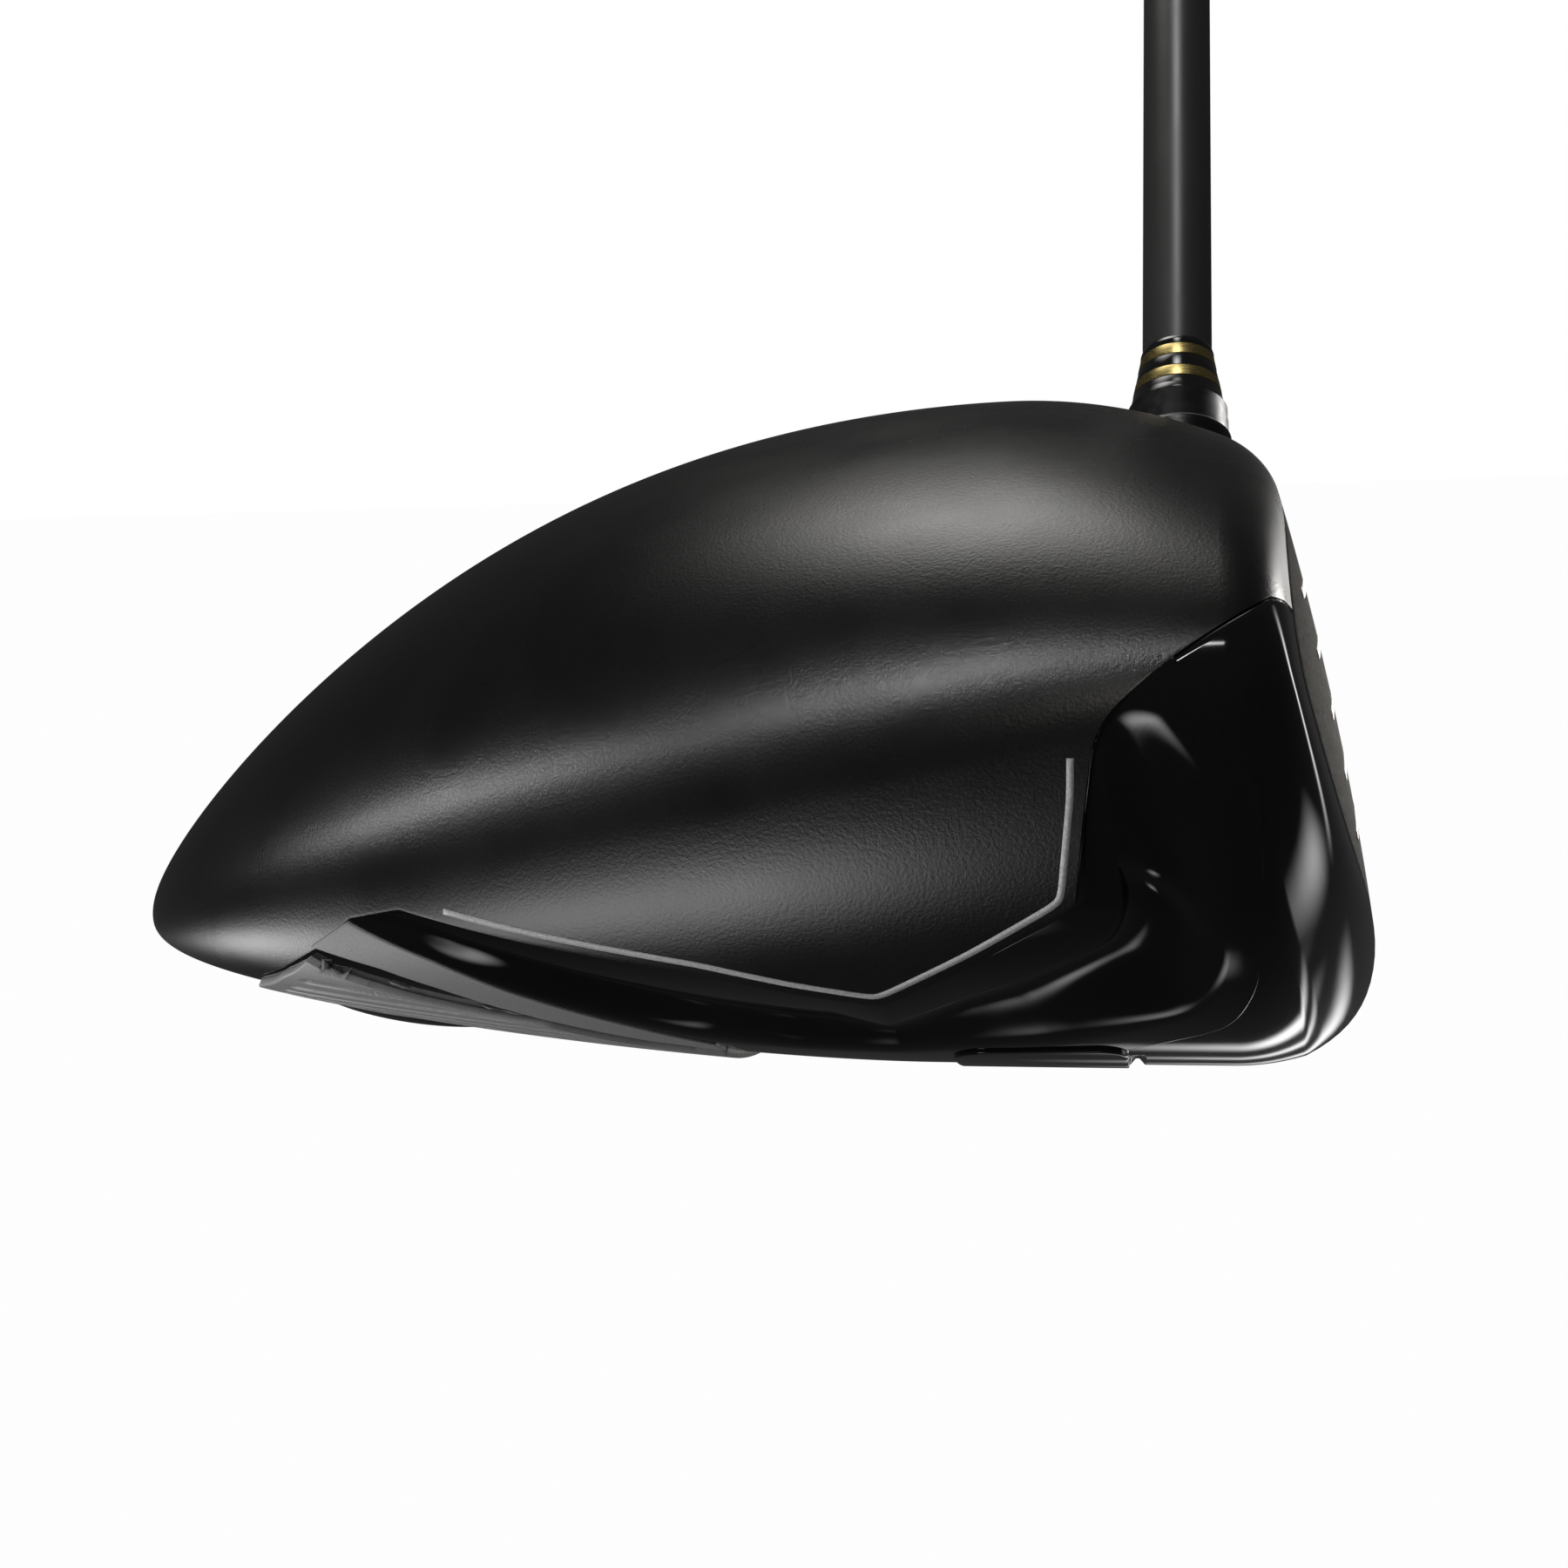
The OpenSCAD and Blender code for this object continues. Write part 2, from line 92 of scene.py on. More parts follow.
# Lower edge of the gloss step wall and outer edge of its hollow, with one station for each
# point of the crown edge
WALL_EDGE = np.array([[9.5, 45.6], [13.9, 43.1], [17.6, 40.4], [20.05, 37.2], [19.5, 32.6],
                      [18.5, 24.6], [19.3, 21.4], [26.9, 16.7], [35.6, 12.6], [42.6, 12.6],
                      [49.2, 14.0], [62.5, 18.7], [72.4, 22.1], [77.0, 21.35], [77.0, 21.35],
                      [77.0, 21.35]])
HOLLOW_EDGE = np.array([[9.4, 44.9], [11.6, 38.0], [11.6, 33.0], [11.6, 29.0], [11.6, 25.0],
                        [11.6, 20.0], [12.6, 15.8], [22.0, 11.6], [35.0, 9.6], [42.0, 9.6],
                        [50.0, 10.2], [63.6, 15.9], [72.8, 19.75], [77.0, 21.3], [77.0, 21.3],
                        [77.0, 21.3]])
LAST = 13
STRIP_TOP = np.array([[50.0, 10.0], [56.3, 12.8], [64.0, 15.9], [69.7, 18.5], [77.0, 21.2]])
STRIP_BOTTOM = np.array([[50.0, 8.6], [56.0, 10.0], [62.7, 12.6], [70.5, 15.8], [75.1, 17.3],
                         [81.4, 18.5]])
STRIP_PROUD = 0.2

# Step trim: its first station, the hollow's first station, and the skirt that runs on beyond
TRIM_START = 1.45
HOLLOW_START = 2.0
SKIRT = 2.4
SKIRT_PROUD = 0.015
# Drop at the crown edge, slope of the wall, and the fall behind its ridge
LIP = 0.35
WALL_TILT = 0.24
RIDGE_DROP = 0.55
RIDGE_FADE = 0.35
# Columns of the mesh beside the ridge and up the wall
NEAR = np.array([0.04, 0.09, 0.16, 0.3, 0.5, 0.8])
WALL_STEPS = np.append(np.linspace(0, 0.72, 9), [0.82, 0.9, 0.95])
# Depth of the scoop outside the wall, and how much of it each station gets
SCOOP = 1.5
SCOOP_STATIONS = [0, 2, 4, 6, 7, VEE, 10]
SCOOP_SHARES = [0.3, 1.0, 1.0, 0.7, 0.35, 0.1, 0.0]
# The upright crease where the two runs of the wall meet
VEE_PROUD = 0.45
VEE_REACH = 5.0
# Room that the gloss body leaves under the trims
HOLLOW_DEPTH = 3.4
HOLLOW_SLOPE = 1.5

# Walls of the shells, and the openings in them, as radii
CROWN_WALL, BODY_WALL, FACE_WALL, PANEL_WALL = 0.95, 1.1, 0.9, 1.3
CROWN_HOSEL_R, BODY_HOSEL_R = 7.2, 5.6
BODY_PORT_R, PANEL_PORT_R = 11.6, 11.5
BODY_RIM = 0.12

# Shaft line, club length, grip and camera
SHAFT_Q, SHAFT_Y, LIE = 12.7, 28.7, math.radians(58.7)
CLUB_LENGTH = 1155.7
GRIP_LENGTH = 267
CAP_HEIGHT = 5.5
GRIP_RADII = (8.9, 13.3)
GRIP_BORE = 7.84
CAMERA_TURN = (12.18, 10.35, -1.73)
CAMERA_LENS = 37.82
CAMERA_PLACE = (FACE_X - 18.01, -166.65, 53.32)


# ---------------------------------------------------------------- head surface

def signed_pow(t, k):
    return np.sign(t) * np.abs(t) ** k


def fade(q, q0, shape):
    """Falls from 1 at q0 to 0 at the tail."""
    t = np.clip((q - q0) / (DEPTH - q0), 0, 1)
    return np.clip(1 - t ** shape[0], 0, None) ** (1 / shape[1])


def plan_half(q):
    nose = NOSE_IN * np.clip((WIDEST_Q - q) / WIDEST_Q, 0, None) ** 2
    return HALF_WIDTH * fade(q, WIDEST_Q, PLAN_SHAPE) - nose


def belt_z(q):
    return BELT_FRONT + (BELT_TAIL - BELT_FRONT) * np.clip(q / DEPTH, 0, 1)


def top_h(q):
    rise = (CROWN_Z - belt_z(q)) * fade(q, PEAK_Q, TOP_SHAPE)
    return rise - NOSE_DROP * np.clip((PEAK_Q - q) / PEAK_Q, 0, None) ** 2


def keel_h(q):
    return (belt_z(q) - KEEL_Z) * fade(q, KEEL_Q, KEEL_SHAPE)


def section(q, a):
    """[y, z] of the section at distance q, at angle a counted from the heel over the crown."""
    s, c = np.sin(a), np.cos(a)
    full = np.where(s >= 0, UPPER_FULL, LOWER_FULL)
    h = np.where(s >= 0, top_h(q), keel_h(q))
    return plan_half(q) * signed_pow(c, 2 / full), belt_z(q) + h * signed_pow(s, 2 / full)


def face_q(y, z):
    return (z - FACE_MID) * math.tan(LOFT) + y ** 2 / (2 * BULGE) + (z - FACE_MID) ** 2 / (2 * ROLL)


def to_xyz(q, y, z):
    q, y, z = np.broadcast_arrays(q, y, z)
    return np.stack([FACE_X - q, y, z], -1)


def skin(u, a):
    """Point of the head skin. u: 0-1 face centre to edge, 1-2 rounded edge, 2-3 back to
    LEVEL_Q, 3-4 on to the tail."""
    u, a = np.broadcast_arrays(np.asarray(u, float), np.asarray(a, float))
    rim = np.zeros(a.shape)
    for _ in range(16):
        rim = face_q(*section(rim, a))
    y, z = section(rim, a)
    corner = to_xyz(rim, y, z)
    size = EDGE_TOP + (EDGE_SOLE - EDGE_TOP) * np.clip(-np.sin(a), 0, None)
    share = 1 - size / np.hypot(y, z - FACE_MID)

    def on_face(s):
        fy, fz = y * share * s, FACE_MID + (z - FACE_MID) * share * s
        return to_xyz(face_q(fy, fz), fy, fz)

    def on_body(q):
        return to_xyz(q, *section(q, a))

    start = rim + size
    t = np.clip(u - 1, 0, 1)[..., None]
    edge = (1 - t) ** 2 * on_face(1.0) + 2 * t * (1 - t) * corner + t ** 2 * on_body(start)
    front = on_body(start + (LEVEL_Q - start) * np.clip(u - 2, 0, 1))
    back = on_body(LEVEL_Q + (DEPTH - LEVEL_Q) * np.clip(u - 3, 0, 1))
    zone = u[..., None]
    return np.where(zone < 1, on_face(u), np.where(zone < 2, edge, np.where(zone < 3, front, back)))


def u_at(q):
    return 3 + (q - LEVEL_Q) / (DEPTH - LEVEL_Q)


def q_at(u):
    return LEVEL_Q + (DEPTH - LEVEL_Q) * (u - 3)


def side_angle(q, z):
    """Angle, on the toe side, of the skin point at distance q and height z."""
    over = z >= belt_z(q)
    h = np.where(over, top_h(q), keel_h(q))
    full = np.where(over, UPPER_FULL, LOWER_FULL)
    s = np.clip(np.abs(z - belt_z(q)) / h, 0, 1) ** (full / 2)
    return math.pi + np.where(over, -1, 1) * np.arcsin(s)


def side_y(q, z):
    """Distance from the middle plane of the side skin at distance q and height z."""
    full = np.where(z >= belt_z(q), UPPER_FULL, LOWER_FULL)
    return plan_half(q) * np.abs(np.cos(side_angle(q, z))) ** (2 / full)


def toe_side(q, z):
    return to_xyz(q, -side_y(q, z), z)


def sole_z(q, y):
    t = np.clip(np.abs(y) / plan_half(q), 0, 1)
    return belt_z(q) - keel_h(q) * (1 - t ** LOWER_FULL) ** (1 / LOWER_FULL)


def resample(line, stations, curved=0):
    """Points along a polyline by station number; a soft curve passes through the first ones."""
    run = np.arange(len(line))
    out = np.stack([np.interp(stations, run, line[:, k]) for k in (0, 1)], -1)
    if curved:
        st = np.clip(stations, 0, curved)
        k = np.minimum(st.astype(int), curved - 1)
        t = (st - k)[:, None]
        before, p0, p1 = line[np.maximum(k - 1, 0)], line[k], line[k + 1]
        after = line[np.minimum(k + 2, curved)]
        m0, m1 = (p1 - before) / 2, (after - p0) / 2
        bend = ((2 * t ** 3 - 3 * t ** 2 + 1) * p0 + (t ** 3 - 2 * t ** 2 + t) * m0
                + (3 * t ** 2 - 2 * t ** 3) * p1 + (t ** 3 - t ** 2) * m1)
        out = np.where((stations < curved)[:, None], bend, out)
    return out


SOFT_EDGE = 5
FINE_EDGE = resample(CROWN_EDGE, np.arange(0, len(CROWN_EDGE) - 0.95, 0.1), SOFT_EDGE)


def cut_angle(u):
    """Angle of the crown's lower edge on the toe side, for each row u."""
    u = np.asarray(u, float)
    a = np.full(u.shape, math.radians(160))
    for _ in range(30):
        q = FACE_X - skin(u, a)[..., 0]
        q = np.where(u < 3, q, q_at(u))
        a = 0.5 * a + 0.5 * side_angle(q, np.interp(q, FINE_EDGE[:, 0], FINE_EDGE[:, 1]))
    return a


def loop_distance(q, z, loop):
    """Distance to a closed outline in the side view, positive inside."""
    best = np.full(q.shape, 1e9)
    inside = np.zeros(q.shape, bool)
    for p0, p1 in zip(loop, np.roll(loop, -1, 0)):
        d = p1 - p0
        t = np.clip(((q - p0[0]) * d[0] + (z - p0[1]) * d[1]) / max(d @ d, 1e-9), 0, 1)
        best = np.minimum(best, np.hypot(q - p0[0] - t * d[0], z - p0[1] - t * d[1]))
        crosses = (p0[1] > z) != (p1[1] > z)
        inside ^= crosses & (q < p0[0] + d[0] * (z - p0[1]) / (d[1] if d[1] else 1e-9))
    return np.where(inside, best, -best)


def side_normal(q, z, e=0.02):
    """Outward normal of the toe-side skin."""
    def spot(dq, dz):
        return toe_side(q + dq, z + dz)
    n = np.cross(spot(e, 0) - spot(-e, 0), spot(0, e) - spot(0, -e))
    n /= np.linalg.norm(n, axis=-1, keepdims=True)
    return np.where(n[..., 1:2] > 0, -n, n)


def smooth(t):
    t = np.clip(t, 0, 1)
    return t * t * (3 - 2 * t)


# ---------------------------------------------------------------- mesh helpers

def normals_of(grid):
    along = np.gradient(grid, axis=0)
    around = np.gradient(grid, axis=1)
    n = np.cross(around, along)
    return n / np.maximum(np.linalg.norm(n, axis=-1, keepdims=True), 1e-9)


def mesh_object(name, verts, faces, material, angle=35):
    mesh = bpy.data.meshes.new(name)
    mesh.from_pydata((np.asarray(verts) * MM).tolist(), [], faces)
    mesh.validate()
    mesh.materials.append(material)
    mesh.shade_smooth()
    mesh.set_sharp_from_angle(angle=math.radians(angle))
    obj = bpy.data.objects.new(name, mesh)
    bpy.context.scene.collection.objects.link(obj)
    return obj


def grid_faces(rows, cols, wrap=False, skip=None, start=0):
    faces = []
    for i in range(rows - 1):
        for j in range(cols if wrap else cols - 1):
            if skip is not None and skip[i, j]:
                continue
            k = (j + 1) % cols
            faces.append((start + i * cols + j, start + i * cols + k,
                          start + (i + 1) * cols + k, start + (i + 1) * cols + j))
    return faces


def closed_faces(rows, cols):
    """Faces of a grid that closes on itself both ways."""
    last = (rows - 1) * cols
    return grid_faces(rows, cols, wrap=True) + [
        (last + j, last + (j + 1) % cols, (j + 1) % cols, j) for j in range(cols)]


def weld(obj, distance=0.004):
    """Merges touching points and makes the faces point the same way."""
    bm = bmesh.new()
    bm.from_mesh(obj.data)
    bmesh.ops.remove_doubles(bm, verts=bm.verts, dist=distance * MM)
    bmesh.ops.recalc_face_normals(bm, faces=bm.faces)
    bm.to_mesh(obj.data)
    bm.free()
    return obj


def thicken(obj, depth, bevel=0.0, segments=3):
    """Gives an open skin a thickness, inwards, and rounds its rim."""
    solid = obj.modifiers.new("wall", "SOLIDIFY")
    solid.thickness = depth * MM
    solid.offset = -1
    if bevel:
        rim = obj.modifiers.new("rim", "BEVEL")
        rim.width = bevel * MM
        rim.segments = segments
        rim.limit_method = "ANGLE"
        rim.angle_limit = math.radians(50)
    return obj


def outward(obj, centre):
    """Turns the faces so that they look away from a centre."""
    mesh = obj.data
    centre = Vector(centre) * MM
    votes = sum((1 if (f.center - centre).dot(f.normal) > 0 else -1) * f.area
                for f in mesh.polygons)
    if votes < 0:
        mesh.flip_normals()
    return obj


HEAD_CENTRE = (FACE_X - 45, 0, 28)


def outward_normals(grid):
    """Normals of a patch of the head, looking away from its middle."""
    n = normals_of(grid)
    return -n if ((grid - np.array(HEAD_CENTRE)) * n).sum() < 0 else n


class Axis:
    """A line given in millimetres, with two directions square to it."""

    def __init__(self, point, direction):
        self.point = np.asarray(point, float)
        self.up = np.asarray(direction, float) / np.linalg.norm(direction)
        side = np.cross(self.up, [1.0, 0, 0])
        self.side = side / np.linalg.norm(side)
        self.out = np.cross(self.side, self.up)

    def at(self, r, turn, t):
        r, turn, t = np.broadcast_arrays(r, turn, t)
        around = np.cos(turn)[..., None] * self.out + np.sin(turn)[..., None] * self.side
        return self.point + r[..., None] * around + t[..., None] * self.up


def lathe(name, axis, profile, material, turns=128):
    """Turns a closed outline of [radius, height] about an axis."""
    profile = np.asarray(profile, float)
    phi = np.linspace(0, 2 * math.pi, turns, endpoint=False)
    grid = axis.at(profile[:, None, 0], phi[None, :], profile[:, None, 1])
    faces = closed_faces(len(profile), turns)
    return weld(mesh_object(name, grid.reshape(-1, 3), faces, material), 0.001)


def rounded(profile, radius=0.15, steps=3):
    """Rounds every corner of a closed outline."""
    profile = [np.asarray(p, float) for p in profile]
    out = []
    for k, p in enumerate(profile):
        a, b = profile[k - 1] - p, profile[(k + 1) % len(profile)] - p
        la, lb = np.linalg.norm(a), np.linalg.norm(b)
        cut = min(radius, 0.4 * la, 0.4 * lb)
        start, end = p + a / la * cut, p + b / lb * cut
        for s in np.linspace(0, 1, steps + 1):
            out.append((1 - s) ** 2 * start + 2 * s * (1 - s) * p + s ** 2 * end)
    return np.array(out)


def dense(points, step):
    """Adds points along the straight runs of an outline."""
    points = np.asarray(points, float)
    out = []
    for p0, p1 in zip(points[:-1], points[1:]):
        n = max(1, int(np.ceil(np.linalg.norm(p1 - p0) / step)))
        out += [p0 + (p1 - p0) * k / n for k in range(n)]
    return np.array(out + [points[-1]])


def mirrored(obj, name):
    """A copy on the other side of the middle plane."""
    twin = bpy.data.objects.new(name, obj.data.copy())
    twin.data.transform(Matrix.Scale(-1, 4, (0, 1, 0)))
    twin.data.flip_normals()
    for m in obj.modifiers:
        copy = twin.modifiers.new(m.name, m.type)
        for key in ("thickness", "offset", "width", "segments", "limit_method", "angle_limit"):
            if hasattr(m, key):
                setattr(copy, key, getattr(m, key))
    bpy.context.scene.collection.objects.link(twin)
    return twin


# ---------------------------------------------------------------- materials

class Nodes:
    """Short way to write a material's node tree."""

    def __init__(self, name):
        self.material = bpy.data.materials.new(name)
        self.material.use_nodes = True
        self.tree = self.material.node_tree
        self.shader = self.tree.nodes["Principled BSDF"]
        self.coords = self.add("ShaderNodeTexCoord")

    def add(self, kind, **values):
        node = self.tree.nodes.new(kind)
        for key, value in values.items():
            if key in node.inputs:
                self.feed(node.inputs[key], value)
            else:
                setattr(node, key, value)
        return node

    def feed(self, socket, value):
        if isinstance(value, bpy.types.NodeSocket):
            self.tree.links.new(value, socket)
        else:
            socket.default_value = value

    def set(self, **values):
        for key, value in values.items():
            self.feed(self.shader.inputs[key.replace("_", " ")], value)

    def noise(self, scale, detail=2.0, rough=0.5, stretch=(1, 1, 1)):
        spread = self.add("ShaderNodeMapping", Vector=self.coords.outputs["Object"], Scale=stretch)
        return self.add("ShaderNodeTexNoise", Vector=spread.outputs[0], Scale=scale, Detail=detail,
                        Roughness=rough).outputs["Fac"]

    def between(self, fac, low, high, start=0.35, end=0.65):
        return self.add("ShaderNodeMapRange", **{"Value": fac, "From Min": start, "From Max": end,
                                                 "To Min": low, "To Max": high}).outputs[0]

    def colours(self, fac, *stops):
        ramp = self.add("ShaderNodeValToRGB", Fac=fac)
        while len(ramp.color_ramp.elements) < len(stops):
            ramp.color_ramp.elements.new(0.5)
        for element, (place, colour) in zip(ramp.color_ramp.elements, stops):
            element.position = place
            element.color = (*colour, 1)
        return ramp.outputs["Color"]

    def bump(self, height, distance):
        return self.add("ShaderNodeBump", Height=height, Distance=distance * MM,
                        Strength=1.0).outputs["Normal"]


def grey(v, warm=0.0):
    return (v * (1 + warm), v, v * (1 - warm))


def matte_paint(name, low, high, rough, grain=0.012, coat=0.0, warm=0.0):
    """Satin or matte paint with fine grain."""
    m = Nodes(name)
    speck = m.noise(5200, 2, 0.6)
    cloud = m.noise(90, 3, 0.5)
    m.set(Base_Color=m.colours(speck, (0.3, grey(low, warm)), (0.7, grey(high, warm))),
          Roughness=m.between(cloud, rough - 0.03, rough + 0.03),
          Coat_Weight=coat, Coat_Roughness=0.3,
          Normal=m.bump(m.noise(3800, 3, 0.65), grain))
    return m.material


def gloss_paint(name, value, rough=0.06):
    """Polished black paint with a trace of orange peel and dust."""
    m = Nodes(name)
    haze = m.noise(45, 4, 0.6)
    m.set(Base_Color=m.colours(m.noise(2600, 2), (0.3, grey(value)), (0.75, grey(value * 1.6))),
          Roughness=m.between(haze, rough, rough + 0.05, 0.4, 0.7),
          Coat_Weight=0.6, Coat_Roughness=0.04,
          Normal=m.bump(m.noise(420, 2), 0.004))
    return m.material


BRUSH_SCALE = 900


def brushed(name, colour, rough, stretch, metallic=1.0, depth=0.006):
    """Metal with fine lines left by brushing along one direction."""
    m = Nodes(name)
    lines = m.noise(BRUSH_SCALE, 4, 0.7, stretch)
    dark = tuple(c * 0.72 for c in colour)
    m.set(Base_Color=m.colours(lines, (0.32, dark), (0.68, colour)),
          Metallic=metallic, Roughness=m.between(lines, rough - 0.07, rough + 0.1),
          Normal=m.bump(lines, depth))
    return m.material


def rubber(name, value, rough=0.75):
    m = Nodes(name)
    fine = m.noise(2400, 4, 0.7)
    dust = m.noise(60, 4, 0.6)
    m.set(Base_Color=m.colours(dust, (0.35, grey(value)), (0.8, grey(value * 1.9))),
          Roughness=m.between(fine, rough - 0.08, rough + 0.08), Normal=m.bump(fine, 0.02))
    return m.material


def fibrous(name, colour):
    m = Nodes(name)
    fibre = m.noise(700, 5, 0.7, (1, 6, 1))
    m.set(Base_Color=m.colours(fibre, (0.3, tuple(c * 0.75 for c in colour)), (0.7, colour)),
          Roughness=0.9, Normal=m.bump(fibre, 0.03))
    return m.material


crown_black = matte_paint("crown_black", 0.0025, 0.006, 0.28, 0.022)
gloss_black = gloss_paint("gloss_black", 0.0035)
face_metal = brushed("face_metal", (0.21, 0.195, 0.175), 0.42, (1, 1, 9), 0.85)
score_white = matte_paint("score_white", 0.62, 0.74, 0.6, 0.006, warm=0.02)
pin_grey = matte_paint("pin_grey", 0.26, 0.42, 0.5, 0.01)
strip_grey = matte_paint("strip_grey", 0.13, 0.17, 0.5, 0.012)
panel_grey = matte_paint("panel_grey", 0.17, 0.21, 0.45, 0.010)
weight_black = matte_paint("weight_black", 0.006, 0.01, 0.3, 0.006, coat=0.3)
cast_metal = matte_paint("cast_metal", 0.12, 0.2, 0.5, 0.03)
bolt_black = brushed("bolt_black", (0.07, 0.07, 0.075), 0.35, (1, 1, 1), 0.9)
steel = brushed("steel", (0.5, 0.5, 0.51), 0.3, (6, 1, 1))
sleeve_black = brushed("sleeve_black", (0.03, 0.03, 0.033), 0.35, (1, 1, 1), 0.6)
ferrule_black = gloss_paint("ferrule_black", 0.006, 0.12)
gold = brushed("gold", (0.66, 0.52, 0.2), 0.28, (1, 1, 14), 1.0, 0.004)
shaft_paint = matte_paint("shaft_paint", 0.03, 0.036, 0.33, 0.004, coat=0.25, warm=0.02)
grip_rubber = rubber("grip_rubber", 0.012)
slot_rubber = rubber("slot_rubber", 0.01, 0.6)
foam = fibrous("foam", (0.75, 0.66, 0.45))
paper = fibrous("paper", (0.72, 0.68, 0.56))

CAD_FINISH = {
    "hosel_tube": cast_metal, "wear_pad": steel, "toe_port": cast_metal, "heel_port": cast_metal,
    "toe_weight_screw": bolt_black, "heel_weight_screw": bolt_black, "hosel_bolt": bolt_black,
    "bolt_washer": steel, "bolt_clip": steel, "index_ring": sleeve_black, "sleeve": sleeve_black,
    "tip_plug": foam, "grip_tape": paper,
}


def paint_cad_nodes():
    for node, material in CAD_FINISH.items():
        obj = NODES[node]
        if not obj.material_slots:
            obj.data.materials.append(material)
        for slot in obj.material_slots:
            slot.material = material


# ---------------------------------------------------------------- head pieces

def axis_of(joint):
    j = JOINTS[joint]
    return Axis(np.array(j["pos_m"]) / MM, j["axis"])


HOSEL = axis_of("loft_turn")
HOSEL_TOP = 66.9 - 70.0
WEIGHTS = {side: axis_of(side + "_screw_turn") for side in ("toe", "heel")}


def near_axis(grid, axis, radius):
    """True for the grid's faces that have a corner closer to an axis than a radius."""
    rel = grid - axis.point
    r = np.linalg.norm(rel - (rel @ axis.up)[..., None] * axis.up, axis=-1)
    close = r < radius
    return close[:-1, :-1] | close[1:, :-1] | close[:-1, 1:] | close[1:, 1:]


def row_stations():
    """Rows of the skin, closer together where the crown edge drops steeply."""
    front = np.concatenate([np.linspace(PLATE_SHARE, 1, 3)[:-1], np.linspace(1, 2, 13)[:-1],
                            np.linspace(2, 3, 22)[:-1]])
    steep = dense(CROWN_EDGE[:8], 0.45)
    level = steep[steep[:, 0] > LEVEL_Q + 0.05, 0]
    rest = np.concatenate([np.arange(28.9, 35.5, 0.6), np.arange(35.5, REAR_Q, 0.7)])
    return np.concatenate([front, [3.0], u_at(level), u_at(rest[rest > level[-1] + 0.1])])


def crown_piece():
    rows = np.append(row_stations(), u_at(REAR_Q))
    cut = cut_angle(rows)
    cols = 300
    w = np.linspace(0, 1, cols)
    half = math.pi / 2
    angles = (cut[:, None] - half) * (1 - 2 * w)[None, :] + half
    grid = skin(rows[:, None], angles)
    tail_u = u_at(REAR_Q + (DEPTH - REAR_Q) * np.sin(np.linspace(0, 1, 46)[:-1] * half))
    under = np.linspace(cut[-1], 3 * math.pi - cut[-1], 121)[1:-1]
    ring = np.concatenate([angles[-1][::-1], under])
    tail = skin(tail_u[:, None], ring[None, :])
    tip = to_xyz(DEPTH, 0.0, BELT_TAIL)[None, :]
    verts = np.concatenate([grid.reshape(-1, 3), tail.reshape(-1, 3), tip])
    opening = near_axis(grid, HOSEL, CROWN_HOSEL_R) & (grid[:-1, :-1, 2] > FACE_MID)
    faces = grid_faces(len(rows), cols, skip=opening)
    base, n = grid.shape[0] * cols, len(ring)
    faces += grid_faces(len(tail_u), n, wrap=True, start=base)
    last = base + (len(tail_u) - 1) * n
    faces += [(last + j, last + (j + 1) % n, len(verts) - 1) for j in range(n)]
    obj = weld(mesh_object("crown", verts, faces, crown_black, 60))
    return thicken(outward(obj, HEAD_CENTRE), CROWN_WALL, 0.18)


SLOT_Q = (16.95, 18.0)
SLOT_Y = (-44.0, 20.0)
SLOT_DEPTH = 0.6
SLOT_END = 1.5

LOOP_RUN = np.linspace(HOLLOW_START, LAST, 60)
TRIM_LOOP = np.concatenate([resample(CROWN_EDGE, LOOP_RUN, SOFT_EDGE),
                            resample(HOLLOW_EDGE, LOOP_RUN)[::-1]])


def body_offset(q, y, z):
    """Offset of the gloss body from the plain skin: inwards under the trims and in the slot."""
    inside = loop_distance(q, z, TRIM_LOOP)
    hollow = HOLLOW_DEPTH * smooth((inside + 0.05) / HOLLOW_SLOPE)
    groove_y = smooth((y - SLOT_Y[0]) / SLOT_END) * smooth((SLOT_Y[1] - y) / SLOT_END)
    mid, half = sum(SLOT_Q) / 2, (SLOT_Q[1] - SLOT_Q[0]) / 2
    groove = SLOT_DEPTH * np.clip(1.1 - np.abs(q - mid) / half, 0, 1) * groove_y * (z < 20)
    return -(hollow + groove)


def body_piece():
    rows = row_stations()
    slot = u_at(np.linspace(SLOT_Q[0] - 0.15, SLOT_Q[1] + 0.15, 15))
    rows = np.sort(np.concatenate([rows, slot]))
    rows = rows[np.concatenate([[True], np.diff(rows) > 1e-4])]
    cut = cut_angle(rows)
    cols = 340
    w = np.linspace(0, 1, cols)
    low = cut[:, None]
    angles = low + (3 * math.pi - 2 * low) * w[None, :]
    grid = skin(rows[:, None], angles)
    normal = outward_normals(grid)
    q = FACE_X - grid[..., 0]
    rim = BODY_RIM * np.clip(1 - np.minimum(w, 1 - w) * (cols - 1) / 1.6, 0, 1)
    grid = grid + normal * (body_offset(q, grid[..., 1], grid[..., 2]) - rim)[..., None]
    skip = near_axis(grid, WEIGHTS["toe"], BODY_PORT_R) | near_axis(grid, WEIGHTS["heel"], BODY_PORT_R)
    skip |= near_axis(grid, HOSEL, BODY_HOSEL_R)
    faces = grid_faces(*grid.shape[:2], skip=skip)
    obj = weld(mesh_object("body", grid.reshape(-1, 3), faces, gloss_black, 50))
    return thicken(outward(obj, HEAD_CENTRE), BODY_WALL)


